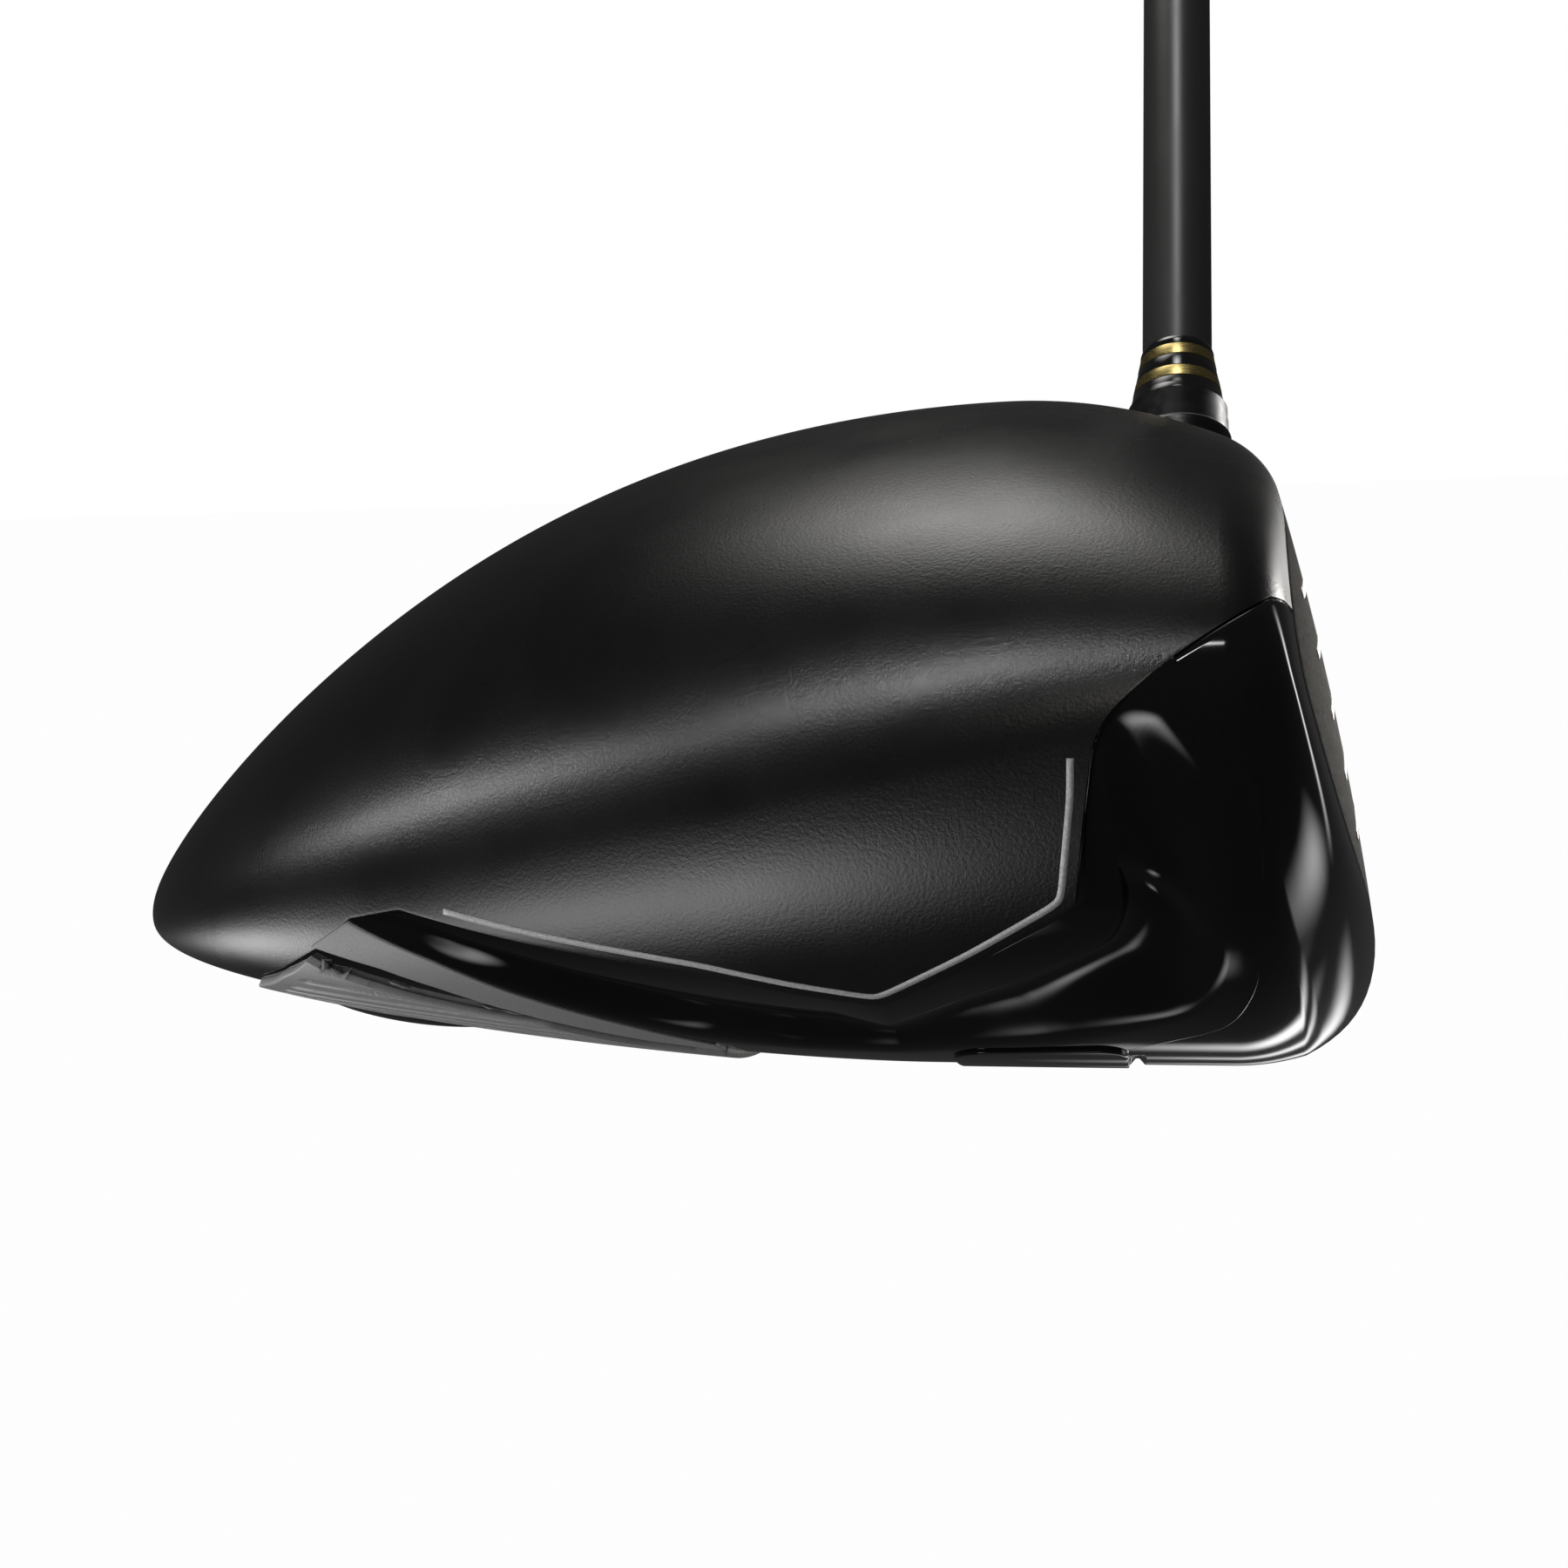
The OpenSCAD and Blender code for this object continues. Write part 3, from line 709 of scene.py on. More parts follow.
def step_trim(name):
    """Gloss step wall under the matte panel's edge, its ridge, and the hollow outside it."""
    stations = [TRIM_START]
    for k in range(LAST):
        count = int(max(4, np.ceil(np.hypot(*(CROWN_EDGE[k + 1] - CROWN_EDGE[k])) / 0.3)))
        stations += [k + (i + 1) / count for i in range(count) if k + (i + 1) / count > TRIM_START]
    stations = np.array(sorted(set(stations) | {TRIM_START + 0.01, VEE - 0.02, VEE + 0.02}))
    edge = resample(CROWN_EDGE, stations, SOFT_EDGE)
    ridge, outer = (resample(line, stations) for line in (WALL_EDGE, HOLLOW_EDGE))

    def relax(line, keep_vee):
        line = line.copy()
        for _ in range(14):
            inner = (line[:-2] + 2 * line[1:-1] + line[2:]) / 4
            near_vee = np.abs(stations[1:-1] - VEE) < 0.12
            hold = (near_vee & keep_vee)[:, None] | (stations[1:-1] > 11.5)[:, None]
            line[1:-1] = np.where(hold, line[1:-1], inner)
        return line

    ridge, outer = relax(ridge, True), relax(outer, False)
    away = outer - ridge
    away /= np.maximum(np.hypot(*away.T), 0.05)[:, None]
    wall = np.hypot(*(ridge - edge).T)[:, None]
    reach = np.hypot(*(outer - ridge).T)[:, None]
    x_wall = (WALL_STEPS[None, :] - 1) * wall
    x_ridge = np.concatenate([-np.minimum(NEAR[2:0:-1], 0.04 * wall), 0 * wall,
                              np.minimum(NEAR, NEAR / 8 * reach)], 1)
    rest = np.linspace(0, 1, 26)[1:]
    x_out = x_ridge[:, -1:] + (reach - x_ridge[:, -1:]) * rest[None, :]
    x = np.concatenate([x_wall, x_ridge, x_out], 1)
    share_in = np.clip(1 + x / np.maximum(wall, 1e-6), 0, 1)
    t_out = np.clip(x / np.maximum(reach, 1e-6), 0, 1)
    on_wall = edge[:, None] + (ridge - edge)[:, None] * share_in[..., None]
    on_hollow = ridge[:, None] + (outer - ridge)[:, None] * t_out[..., None]
    spot = np.where((x <= 0)[..., None], on_wall, on_hollow)
    margin = [outer[:, None] + away[:, None] * d for d in (SKIRT / 2, SKIRT - 0.04, SKIRT)]
    spot = np.concatenate([spot] + margin, 1)
    x, share_in, t_out = (np.concatenate([a] + [a[:, -1:]] * 3, 1) for a in (x, share_in, t_out))
    q, z = spot[..., 0], spot[..., 1]
    grid = toe_side(q, z)
    n = side_normal(q, z)
    st = stations[:, None]
    lip = LIP * smooth((LAST - st) / 0.8) * smooth((st - HOLLOW_START) / 0.8)
    has_wall = smooth(wall / 1.6) * smooth((st - 4.3) / 0.5)
    size = smooth((st - HOLLOW_START) / 2.6) * smooth((LAST - 0.6 - st) / 2.5)
    tilt = WALL_TILT * has_wall
    along = lip + tilt * np.minimum(wall + x, wall)
    soft = 0.5 * (x + np.sqrt(x ** 2 + 0.0016))
    drop = has_wall * RIDGE_DROP * (1 - np.exp(-soft / RIDGE_FADE))
    scoop_here = np.interp(stations, SCOOP_STATIONS, SCOOP_SHARES)[:, None]
    scoop = SCOOP * scoop_here * np.sin(np.pi * t_out ** 0.85) ** 1.7
    crease = VEE_PROUD * np.clip(1 - (np.sqrt((st - VEE) ** 2 + 0.0009) * 8.0) / VEE_REACH, 0, 1)
    crease = crease * share_in * (1 - smooth(t_out * 2))
    depth = (along + drop) * smooth(1 - t_out) ** 1.1 + scoop * size - crease
    proud = np.maximum(np.clip(t_out * 3, 0, 1), 1 - smooth((st - TRIM_START) / 1.6))
    grid = grid - n * (depth - SKIRT_PROUD * proud)[..., None]
    obj = mesh_object(name, grid.reshape(-1, 3), grid_faces(*grid.shape[:2]), gloss_black, 40)
    return thicken(outward(obj, HEAD_CENTRE), 0.6)


def face_piece():
    """Thin face skin; it stops short of the shaft tip plug when the loft is turned."""
    rows = np.linspace(0.02, PLATE_SHARE - 0.006, 40)
    angles = np.linspace(0, 2 * math.pi, 361)[:-1]
    grid = skin(rows[:, None], angles[None, :])
    centre = to_xyz(face_q(0.0, FACE_MID), 0.0, FACE_MID)[None, :]
    verts = np.concatenate([grid.reshape(-1, 3), centre])
    faces = grid_faces(len(rows), 360, wrap=True)
    faces += [(j, (j + 1) % 360, len(verts) - 1) for j in range(360)]
    obj = weld(mesh_object("face", verts, faces, face_metal, 50))
    return thicken(outward(obj, HEAD_CENTRE), FACE_WALL, 0.22)


SCORE_Z = (44.1, 39.6, 35.0, 30.4, 25.8)
SCORE_Y = (27.0, 39.0)
SCORE_WIDTH = 0.9


def score_lines():
    """Short painted lines at both ends of the face's hitting area."""
    verts, faces = [], []
    t = np.linspace(0, 1, 26)
    for side in (-1, 1):
        for z0 in SCORE_Z:
            y = side * (SCORE_Y[0] + (SCORE_Y[1] - SCORE_Y[0]) * t)[:, None]
            z = z0 + SCORE_WIDTH * np.array([[-0.5, -0.42, 0.0, 0.42, 0.5]])
            proud = np.array([[-0.03, 0.05, 0.07, 0.05, -0.03]])
            y, z = np.broadcast_arrays(y, z)
            grid = to_xyz(face_q(y, z) - proud, y, z)
            faces += grid_faces(*grid.shape[:2], start=len(verts))
            verts += list(grid.reshape(-1, 3))
    obj = mesh_object("score_lines", verts, faces, score_white, 60)
    return thicken(obj, 0.2)


def pinstripe(name):
    """Thin painted line that follows the edge of the matte side panel."""
    edge = np.concatenate([[[21.0, 35.6]], CROWN_EDGE[4:12], [[68.0, 22.0]]])
    path = dense(edge, 0.5)
    for _ in range(6):
        path[1:-1] = (path[:-2] + 2 * path[1:-1] + path[2:]) / 4
    step = np.gradient(path, axis=0)
    inward = np.stack([-step[:, 1], step[:, 0]], -1)
    inward /= np.linalg.norm(inward, axis=1, keepdims=True)
    lines = [path + inward * d for d in (0.72, 1.2)]
    spot = np.stack(lines, 1)
    q, z = spot[..., 0], spot[..., 1]
    grid = toe_side(q, z)
    n = outward_normals(grid)
    grid = grid + n * 0.035
    obj = mesh_object(name, grid.reshape(-1, 3), grid_faces(*grid.shape[:2]), pin_grey)
    return thicken(outward(obj, HEAD_CENTRE), 0.06)


def side_strip(name):
    t = np.linspace(0, 1, 90)[:, None]

    def along(line, t):
        run = np.concatenate([[0], np.cumsum(np.hypot(*np.diff(line, axis=0).T))])
        run /= run[-1]
        return np.concatenate([np.interp(t, run, line[:, 0]), np.interp(t, run, line[:, 1])], -1)

    top, bottom = along(STRIP_TOP, t), along(STRIP_BOTTOM, t)
    w = np.linspace(0, 1, 14)[None, :, None]
    spot = top[:, None, :] * (1 - w) + bottom[:, None, :] * w
    q, z = spot[..., 0], spot[..., 1]
    grid = toe_side(q, z)
    n = outward_normals(grid)
    grid = grid + n * STRIP_PROUD
    obj = mesh_object(name, grid.reshape(-1, 3), grid_faces(*grid.shape[:2]), strip_grey)
    return thicken(outward(obj, HEAD_CENTRE), 0.5, 0.08, 2)


RIB_FRONT_Q = 50.0
PANEL_PROUD = 0.62


def panel_piece():
    """Grey panel under the tail, with fine grooves that run front to back near its sides."""
    edge_q = np.array([81.6, 86.0, 91.0, 93.0])
    edge_z = np.array([17.7, 15.2, 12.9, 11.6])
    rear_y = side_y(edge_q, edge_z)
    low = STRIP_BOTTOM[:, 1] - 0.25
    strip_y = side_y(STRIP_BOTTOM[:, 0], low)
    widest = rear_y[0]
    lanes = np.concatenate([np.arange(0, 34, 0.8), np.arange(34, widest - 0.12, 0.1)])
    rear = np.interp(lanes, rear_y[::-1], edge_q[::-1])
    order = np.argsort(strip_y)
    front = np.interp(lanes, strip_y[order], STRIP_BOTTOM[order, 0])
    front = np.where(lanes < strip_y.min(), RIB_FRONT_Q, front)
    front = np.minimum(front, rear - 0.05)
    s = np.concatenate([np.linspace(0, 0.06, 6)[:-1], np.linspace(0.06, 1, 110)])
    q = rear[None, :] + (front - rear)[None, :] * s[:, None]
    y = np.broadcast_to(lanes, q.shape)
    bow = 0.0085 * (q - 67) ** 2
    lane = y + bow
    first, last, pitch, width, deep = 38.2, 53.9, 1.42, 0.26, 0.42
    k = (lane - first) / pitch
    near = np.abs(k - np.round(k)) * pitch
    groove = deep * np.clip(1.25 - near / width, 0, 1) * (lane > first - 0.5) * (lane < last)
    from_rear, from_front = rear[None, :] - q, q - front[None, :]
    groove = groove * smooth((from_rear - 1.2) / 0.6) * smooth((from_front - 0.5) / 0.5)
    half = to_xyz(q, y, sole_z(q, y))
    grid = np.concatenate([(half * [1, -1, 1])[:, :0:-1], half], 1)
    depth = np.concatenate([groove[:, :0:-1], groove], 1)
    n = outward_normals(grid)
    grid = grid + n * (PANEL_PROUD - depth)[..., None]
    skip = near_axis(grid, WEIGHTS["toe"], PANEL_PORT_R)
    skip |= near_axis(grid, WEIGHTS["heel"], PANEL_PORT_R)
    faces = grid_faces(*grid.shape[:2], skip=skip)
    obj = mesh_object("panel", grid.reshape(-1, 3), faces, panel_grey, 30)
    return thicken(outward(obj, HEAD_CENTRE), PANEL_WALL)


def sole_patch(name, q_span, y_span, out, depth, corner, material):
    """A plate with rounded corners laid on the sole."""
    rows, cols = 41, 161
    a, b = np.meshgrid(np.linspace(-1, 1, rows), np.linspace(-1, 1, cols), indexing="ij")
    half_q, half_y = (q_span[1] - q_span[0]) / 2, (y_span[1] - y_span[0]) / 2
    q = sum(q_span) / 2 + a * half_q
    y = sum(y_span) / 2 + b * half_y
    inner_q, inner_y = half_q - corner, half_y - corner
    dq, dy = q - sum(q_span) / 2, y - sum(y_span) / 2
    over_q, over_y = np.clip(np.abs(dq) - inner_q, 0, None), np.clip(np.abs(dy) - inner_y, 0, None)
    over = np.hypot(over_q, over_y)
    reach = np.maximum(over_q, over_y)
    pull = np.where(over > 0, reach / np.maximum(over, 1e-9), 1)
    q = sum(q_span) / 2 + np.sign(dq) * (np.minimum(np.abs(dq), inner_q) + over_q * pull)
    y = sum(y_span) / 2 + np.sign(dy) * (np.minimum(np.abs(dy), inner_y) + over_y * pull)
    grid = to_xyz(q, y, sole_z(q, y))
    n = outward_normals(grid)
    grid = grid + n * out
    obj = mesh_object(name, grid.reshape(-1, 3), grid_faces(rows, cols), material)
    return thicken(outward(obj, HEAD_CENTRE), depth, 0.12, 2)


def hosel_neck(skin_tree):
    """Flare that blends the hosel tube into the crown and heel."""
    turns = np.linspace(0, 2 * math.pi, 160, endpoint=False)

    def on_skin(r, turn):
        start = HOSEL.at(np.array(r), np.array(turn), np.array(40.0))
        hit = skin_tree.ray_cast(Vector(start * MM), Vector(-HOSEL.up))[0]
        return np.array(hit) / MM if hit else None

    ring, lean = [], []
    for turn in turns:
        aft = -math.cos(turn)
        r = 12.5 + 3.5 * max(aft, 0) - 4.6 * max(-aft, 0) ** 1.5
        p, inner = on_skin(r, turn), on_skin(r - 0.6, turn)
        ring.append(p)
        lean.append((inner - p) / np.linalg.norm(inner - p))
    ring, lean = np.array(ring), np.array(lean)
    for _ in range(4):
        ring = (np.roll(ring, 1, 0) + 2 * ring + np.roll(ring, -1, 0)) / 4
        lean = (np.roll(lean, 1, 0) + 2 * lean + np.roll(lean, -1, 0)) / 4
    top = HOSEL.at(np.array(7.0), turns, np.array(HOSEL_TOP - 0.35))
    gap = np.linalg.norm(top - ring, axis=1)[:, None]
    rows = []
    for s in np.linspace(0, 1, 40):
        h00, h10 = 2 * s ** 3 - 3 * s ** 2 + 1, s ** 3 - 2 * s ** 2 + s
        h01, h11 = -2 * s ** 3 + 3 * s ** 2, s ** 3 - s ** 2
        rows.append(h00 * ring + h10 * lean * gap * 1.1 + h01 * top + h11 * HOSEL.up * gap * 1.3)
    grid = np.array(rows)
    lip = HOSEL.at(np.array(6.85), turns, np.array(HOSEL_TOP - 0.2))[None]
    grid = np.concatenate([grid, lip])
    faces = grid_faces(*grid.shape[:2], wrap=True)
    obj = mesh_object("hosel_neck", grid.reshape(-1, 3), faces, crown_black, 60)
    outward(obj, HOSEL.point - 15 * HOSEL.up)
    return thicken(obj, 0.12)


def base_tree():
    """The plain head skin, for rays that look for the hosel neck's foot."""
    u = np.concatenate([np.linspace(0.02, 1, 30), np.linspace(1, 2, 14)[1:],
                        np.linspace(2, 3, 12)[1:], u_at(np.linspace(LEVEL_Q, DEPTH - 0.5, 120))[1:]])
    a = np.linspace(0, 2 * math.pi, 361)[:-1]
    grid = skin(u[:, None], a[None, :])
    return BVHTree.FromPolygons([Vector(p * MM) for p in grid.reshape(-1, 3)],
                                grid_faces(len(u), 360, wrap=True))


# ---------------------------------------------------------------- shaft pieces

SHAFT = Axis([FACE_X - SHAFT_Q, SHAFT_Y, 0.0], [0, math.cos(LIE), math.sin(LIE)])

BAND_LOWS = (73.6, 77.4)
BAND_HEIGHT = 1.75
NECK = (5.1, 77.9)
NECK_TAPER = 0.172


def neck_radius(t):
    return NECK[0] + (NECK[1] - t) * NECK_TAPER


def ferrule_piece():
    outline = [[4.67, 71.4], [6.4, 71.4], [6.05, 72.4]]
    for low in BAND_LOWS:
        a, b = low - 0.02, low + BAND_HEIGHT + 0.02
        outline += [[neck_radius(a) - 0.03, a], [4.85, a], [4.85, b], [neck_radius(b), b]]
    outline += [[4.87, 79.9], [4.72, 80.4], [4.67, 80.4]]
    return lathe("ferrule_body", SHAFT, rounded(outline, 0.12), ferrule_black)


def ring_piece(name, low):
    high = low + BAND_HEIGHT
    outline = [[4.9, low], [neck_radius(low) + 0.03, low],
               [neck_radius(high) + 0.03, high], [4.9, high]]
    return lathe(name, SHAFT, rounded(outline, 0.12), gold, turns=160)


def shaft_piece(butt):
    outline = [[2.9, 41], [4.4, 41], [4.55, 71.4], [4.6, 82], [7.6, 1000], [7.6, butt],
               [6.7, butt], [6.7, 1000]]
    return lathe("shaft_tube", SHAFT, rounded(outline, 0.1, 2), shaft_paint, turns=96)


def grip_piece(low, high):
    """Tapered rubber grip with rows of small raised lozenges between plain bands."""
    length = high - low
    rows, cols = 560, 192
    t = np.linspace(0, 1, rows)
    phi = np.linspace(0, 2 * math.pi, cols, endpoint=False)
    r = GRIP_RADII[0] + (GRIP_RADII[1] - GRIP_RADII[0]) * t ** 1.35
    mouth = 0.9 * (1 - smooth(t * length / 2.5))
    T, P = np.meshgrid(t * length, phi, indexing="ij")
    pitch_t, count = 3.4, 24
    cell_t = T / pitch_t
    cell_p = P / (2 * math.pi) * count
    a = np.abs(((cell_t + cell_p) % 1) - 0.5) * 2
    b = np.abs(((cell_t - cell_p) % 1) - 0.5) * 2
    lozenge = smooth((np.minimum(a, b) - 0.18) / 0.22)
    every, plain = 62, 6
    band = ((T % every) < plain) | (T < 9) | (T > length - 12)
    height = np.where(band, 0.0, 0.32 * (lozenge - 1))
    ring_cut = 0.35 * np.clip(1 - np.abs((T % every) - plain) / 0.45, 0, 1) * (T > 9)
    R = r[:, None] - mouth[:, None] + height - ring_cut
    outer = SHAFT.at(R, P, low + T)
    inner = SHAFT.at(np.array(GRIP_BORE), np.broadcast_to(phi, (2, cols)),
                     np.array([[high], [low]]))
    grid = np.concatenate([outer, inner])
    faces = closed_faces(len(grid), cols)
    return weld(mesh_object("grip_sleeve", grid.reshape(-1, 3), faces, grip_rubber, 50), 0.001)


def cap_piece(low):
    outline = [[2.0, 0.05], [13.3, 0.05], [13.3, 1.85], [12.7, 3.65], [10.5, 4.95], [6, 5.5],
               [4.2, 5.5], [3.9, 5.2], [3.2, 5.2], [3.0, 5.5], [2.0, 5.5]]
    outline = np.array(outline) + [0, low]
    return lathe("grip_end", SHAFT, rounded(outline, 0.4), grip_rubber, turns=160)


def weight_piece(side):
    axis = WEIGHTS[side]
    dome = [[r, 1.2 + 2.0 * math.cos(math.asin(min(1, r / 10.6))) ** 1.1]
            for r in np.linspace(10.3, 4.5, 14)]
    outline = [[2.6, -3.45], [10.4, -3.45], [10.4, 1.1]] + dome + [[4.3, 0.6], [2.6, 0.6]]
    return lathe(side + "_weight_dome", axis, rounded(outline, 0.15), weight_black, turns=160)


# ---------------------------------------------------------------- build

paint_cad_nodes()
tree = base_tree()

HEAD_PIECES = [
    (crown_piece(), "crown_matte", ["crown_shell"]),
    (body_piece(), "black_gloss", ["body_shell"]),
    (step_trim("toe_step"), "black_gloss", []),
    (face_piece(), "face_metal", ["face_plate"]),
    (score_lines(), "score_paint", ["score_inlay"]),
    (pinstripe("toe_pinstripe"), "score_paint", []),
    (side_strip("toe_strip"), "strip_grey", ["side_strips"]),
    (panel_piece(), "panel_grey", ["ribbed_panel"]),
    (sole_patch("plate", (18.15, 31.5), (-47, 20), 0.3, 0.5, 2.5, gloss_black),
     "black_gloss", ["sole_plate"]),
    (sole_patch("slot_rubber", (17.2, 17.75), (-43.4, 19.4), -0.5, 0.2, 0.2, slot_rubber),
     "slot_rubber", ["slot_insert"]),
    (hosel_neck(tree), "crown_matte", []),
]
for obj, slot, nodes in HEAD_PIECES:
    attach(obj, "head")
    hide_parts(*nodes)
    for side_name in ("step", "pinstripe", "strip"):
        if obj.name == "toe_" + side_name:
            twin = mirrored(obj, "heel_" + side_name)
            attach(twin, "head")

GRIP_LOW = CLUB_LENGTH - GRIP_LENGTH
GRIP_HIGH = CLUB_LENGTH - CAP_HEIGHT
CLUB_PIECES = [
    (ferrule_piece(), "ferrule_black", ["ferrule"]),
    (ring_piece("lower_ring", BAND_LOWS[0]), "gold", ["trim_rings"]),
    (ring_piece("upper_ring", BAND_LOWS[1]), "gold", ["trim_rings"]),
    (shaft_piece(GRIP_HIGH), "shaft_paint", ["shaft"]),
    (grip_piece(GRIP_LOW, GRIP_HIGH), "grip_rubber", ["grip"]),
    (cap_piece(GRIP_HIGH), "grip_rubber", ["grip_cap"]),
]
for obj, slot, nodes in CLUB_PIECES:
    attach(obj, "club")
    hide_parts(*nodes)

for side in ("toe", "heel"):
    weight = weight_piece(side)
    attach(weight, side + "_weight")
    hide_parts(side + "_weight")

# ---------------------------------------------------------------- studio

def stage_material(name, value):
    """Floor that only the camera sees, evenly bright; it lights nothing and takes no shadow."""
    m = Nodes(name)
    tree = m.tree
    path = m.add("ShaderNodeLightPath")
    glow = m.add("ShaderNodeEmission", Color=(1, 1, 1, 1), Strength=value)
    clear = m.add("ShaderNodeBsdfTransparent")
    mix = m.add("ShaderNodeMixShader", Fac=path.outputs["Is Camera Ray"])
    tree.links.new(clear.outputs[0], mix.inputs[1])
    tree.links.new(glow.outputs[0], mix.inputs[2])
    tree.links.new(mix.outputs[0], tree.nodes["Material Output"].inputs["Surface"])
    return m.material


def floor():
    size, low = 6000, -0.02
    corners = [(-size, -size, low), (size, -size, low), (size, size, low), (-size, size, low)]
    obj = mesh_object("floor", corners, [(0, 1, 2, 3)], stage_material("floor_white", 0.985))


def world(camera_value, light_value):
    w = bpy.data.worlds.new("studio")
    bpy.context.scene.world = w
    w.use_nodes = True
    tree = w.node_tree
    background = tree.nodes["Background"]
    path = tree.nodes.new("ShaderNodeLightPath")
    mix = tree.nodes.new("ShaderNodeMapRange")
    mix.inputs["To Min"].default_value = light_value
    mix.inputs["To Max"].default_value = camera_value
    tree.links.new(path.outputs["Is Camera Ray"], mix.inputs["Value"])
    tree.links.new(mix.outputs[0], background.inputs["Strength"])
    background.inputs["Color"].default_value = (1, 1, 1, 1)


def soften(light):
    """Fades a soft box towards its edges."""
    light.use_nodes = True
    tree = light.node_tree
    geometry = tree.nodes.new("ShaderNodeNewGeometry")
    split = tree.nodes.new("ShaderNodeSeparateXYZ")
    tree.links.new(geometry.outputs["Parametric"], split.inputs[0])
    fades = []
    for axis in ("X", "Y"):
        rise = tree.nodes.new("ShaderNodeMath")
        rise.operation = "PINGPONG"
        rise.inputs[1].default_value = 0.5
        tree.links.new(split.outputs[axis], rise.inputs[0])
        ease = tree.nodes.new("ShaderNodeMapRange")
        ease.interpolation_type = "SMOOTHSTEP"
        ease.inputs["From Max"].default_value = 0.5
        ease.inputs["To Max"].default_value = 2.0
        tree.links.new(rise.outputs[0], ease.inputs["Value"])
        fades.append(ease.outputs[0])
    both = tree.nodes.new("ShaderNodeMath")
    both.operation = "MULTIPLY"
    for k, fade_out in enumerate(fades):
        tree.links.new(fade_out, both.inputs[k])
    tree.links.new(both.outputs[0], tree.nodes["Emission"].inputs["Strength"])


def area_light(name, place, target, size, power, colour=(1, 1, 1)):
    light = bpy.data.lights.new(name, "AREA")
    light.shape = "RECTANGLE"
    light.size, light.size_y = size[0] * MM, size[1] * MM
    light.energy = power
    light.color = colour
    obj = bpy.data.objects.new(name, light)
    bpy.context.scene.collection.objects.link(obj)
    obj.location = Vector(place) * MM
    look = (Vector(target) - Vector(place)).normalized()
    obj.rotation_mode = "QUATERNION"
    obj.rotation_quaternion = look.to_track_quat("-Z", "Y")
    obj.visible_camera = False
    soften(light)
    return obj


def only_on(light, names):
    """Lets a light reach only some pieces."""
    group = bpy.data.collections.new(light.name + "_targets")
    for name in names:
        group.objects.link(bpy.data.objects[name])
    light.light_linking.receiver_collection = group


def strip_light(name, start, end, width, power, colour=(1, 1, 1)):
    """Long thin light between two points, facing the head."""
    start, end = Vector(start), Vector(end)
    middle = (start + end) / 2
    obj = area_light(name, middle, HEAD_CENTRE, ((end - start).length, width), power, colour)
    look = (Vector(HEAD_CENTRE) - middle).normalized()
    along = (end - start).normalized()
    square = along.cross(look).normalized()
    along = look.cross(square)
    obj.rotation_quaternion = Matrix((along, square, -look)).transposed().to_quaternion()
    return obj


def camera():
    """Close to the toe, just under the crown's top and looking slightly down, as in the photo."""
    yaw, pitch, roll = (math.radians(v) for v in CAMERA_TURN)
    look = Vector((-math.sin(yaw) * math.cos(pitch), math.cos(yaw) * math.cos(pitch),
                   -math.sin(pitch)))
    right = Vector((math.cos(yaw), math.sin(yaw), 0))
    up = right.cross(look)
    level = right * math.cos(roll) + up * math.sin(roll)
    rise = up * math.cos(roll) - right * math.sin(roll)
    data = bpy.data.cameras.new("camera")
    data.sensor_width = 36
    data.lens = CAMERA_LENS
    data.clip_start = 0.005
    obj = bpy.data.objects.new("camera", data)
    bpy.context.scene.collection.objects.link(obj)
    obj.location = Vector(CAMERA_PLACE) * MM
    obj.rotation_mode = "QUATERNION"
    obj.rotation_quaternion = Matrix((level, rise, -look)).transposed().to_quaternion()
    bpy.context.scene.camera = obj


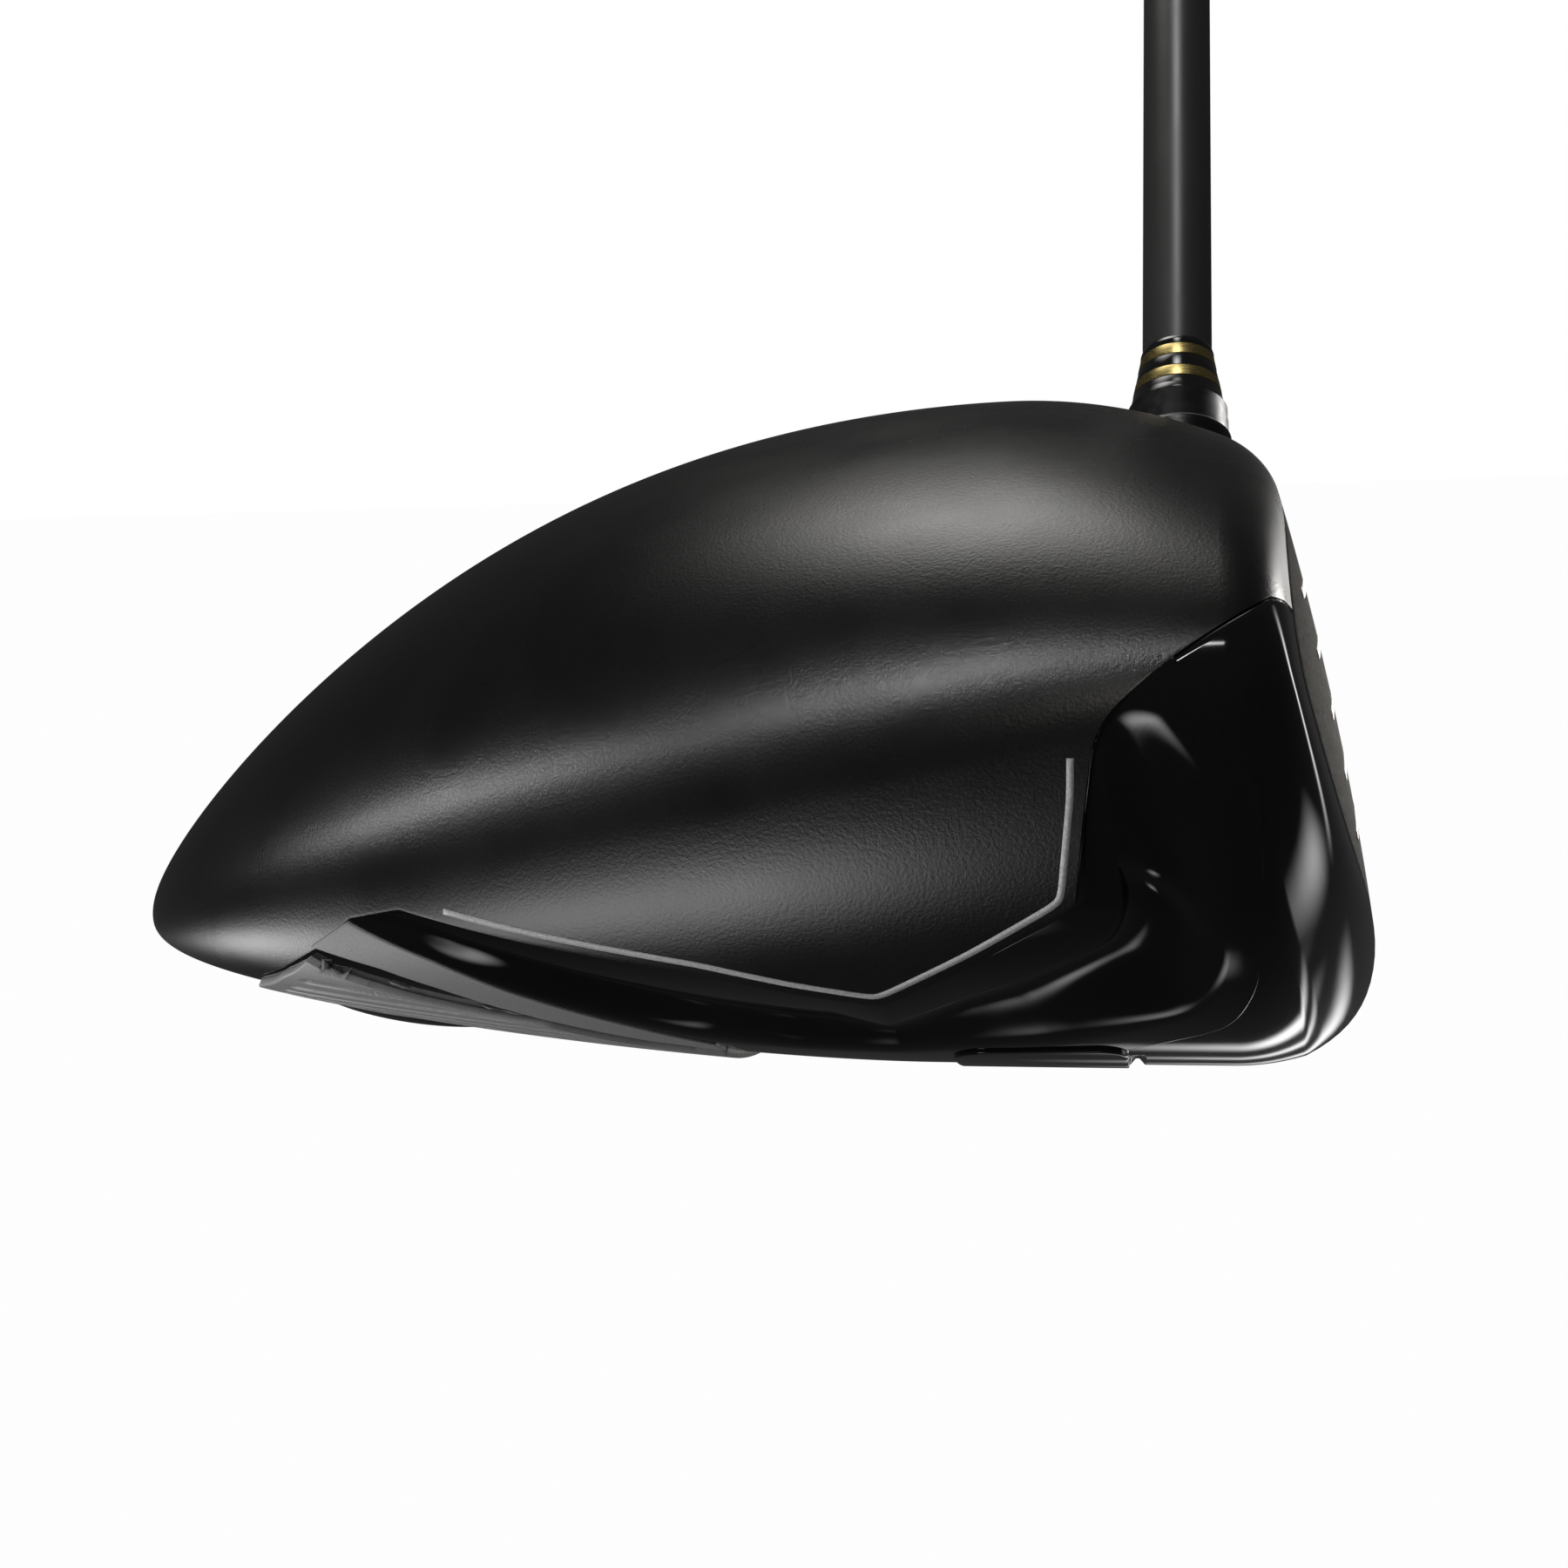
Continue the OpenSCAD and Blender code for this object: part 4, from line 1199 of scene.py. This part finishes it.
floor()
world(1.0, 0.035)
WARM, WARM_SKY, WARM_SIDE = (1, 0.98, 0.95), (1, 0.985, 0.955), (1, 0.96, 0.9)
# Pieces that a light may be limited to
GLOSS = ["body", "toe_step", "heel_step", "plate"]
FACE = ["face"]
SHAFT_SET = ["shaft_tube", "ferrule_body", "lower_ring", "upper_ring", "hosel_neck"]
PAINT = [o.name for o in bpy.data.objects
         if o.type == "MESH" and o.name not in GLOSS + FACE + SHAFT_SET + ["floor"]]
only_on(strip_light("shaft_strip", (-10, -330, 700), (-10, 160, 700), 240, 0.8), SHAFT_SET)
area_light("crown_box", (-90, 195, 425), (-25, -42, 45), (340, 270), 0.38, WARM_SKY)
strip_light("shoulder_front", (10, -230, 535), (-345, -335, 290), 30, 0.6)
strip_light("shoulder_rear", (-270, -325, 330), (-560, -80, 90), 34, 0.5)
only_on(area_light("panel_bounce", (-230, -345, -230), (-120, -200, 0), (520, 420), 1.0), PAINT)
only_on(area_light("tail_bounce", (-500, -80, -250), (-300, -80, 0), (460, 460), 1.15), PAINT)
only_on(strip_light("front_strip", (330, 300, -350), (330, 300, 350), 180, 4.6, WARM), PAINT)
only_on(strip_light("edge_strip", (380, 260, -160), (380, 260, 340), 70, 0.13, WARM), GLOSS)
only_on(area_light("front_patch", (590, 190, -245), (0, -60, 35), (400, 240), 0.16), GLOSS)
only_on(strip_light("floor_near", (-60, 285, -320), (420, 285, -320), 80, 0.1), GLOSS)
only_on(strip_light("floor_middle", (-60, 425, -320), (400, 425, -320), 50, 0.035), GLOSS)
only_on(strip_light("floor_far", (-60, 620, -320), (480, 620, -320), 80, 0.05), GLOSS)
only_on(area_light("under_box", (5, -62, -320), (5, -62, 0), (130, 90), 0.014), GLOSS)
only_on(area_light("scoop_box", (-125, -430, -70), (0, -60, 30), (170, 210), 0.1), GLOSS)
only_on(area_light("face_box", (120, 480, -40), (20, 0, 30), (260, 300), 0.1, WARM_SIDE), FACE)
only_on(area_light("side_box", (20, -480, 290), (0, -40, 40), (190, 170), 0.2, WARM_SIDE), PAINT)
bpy.context.scene.view_settings.view_transform = "Standard"
camera()
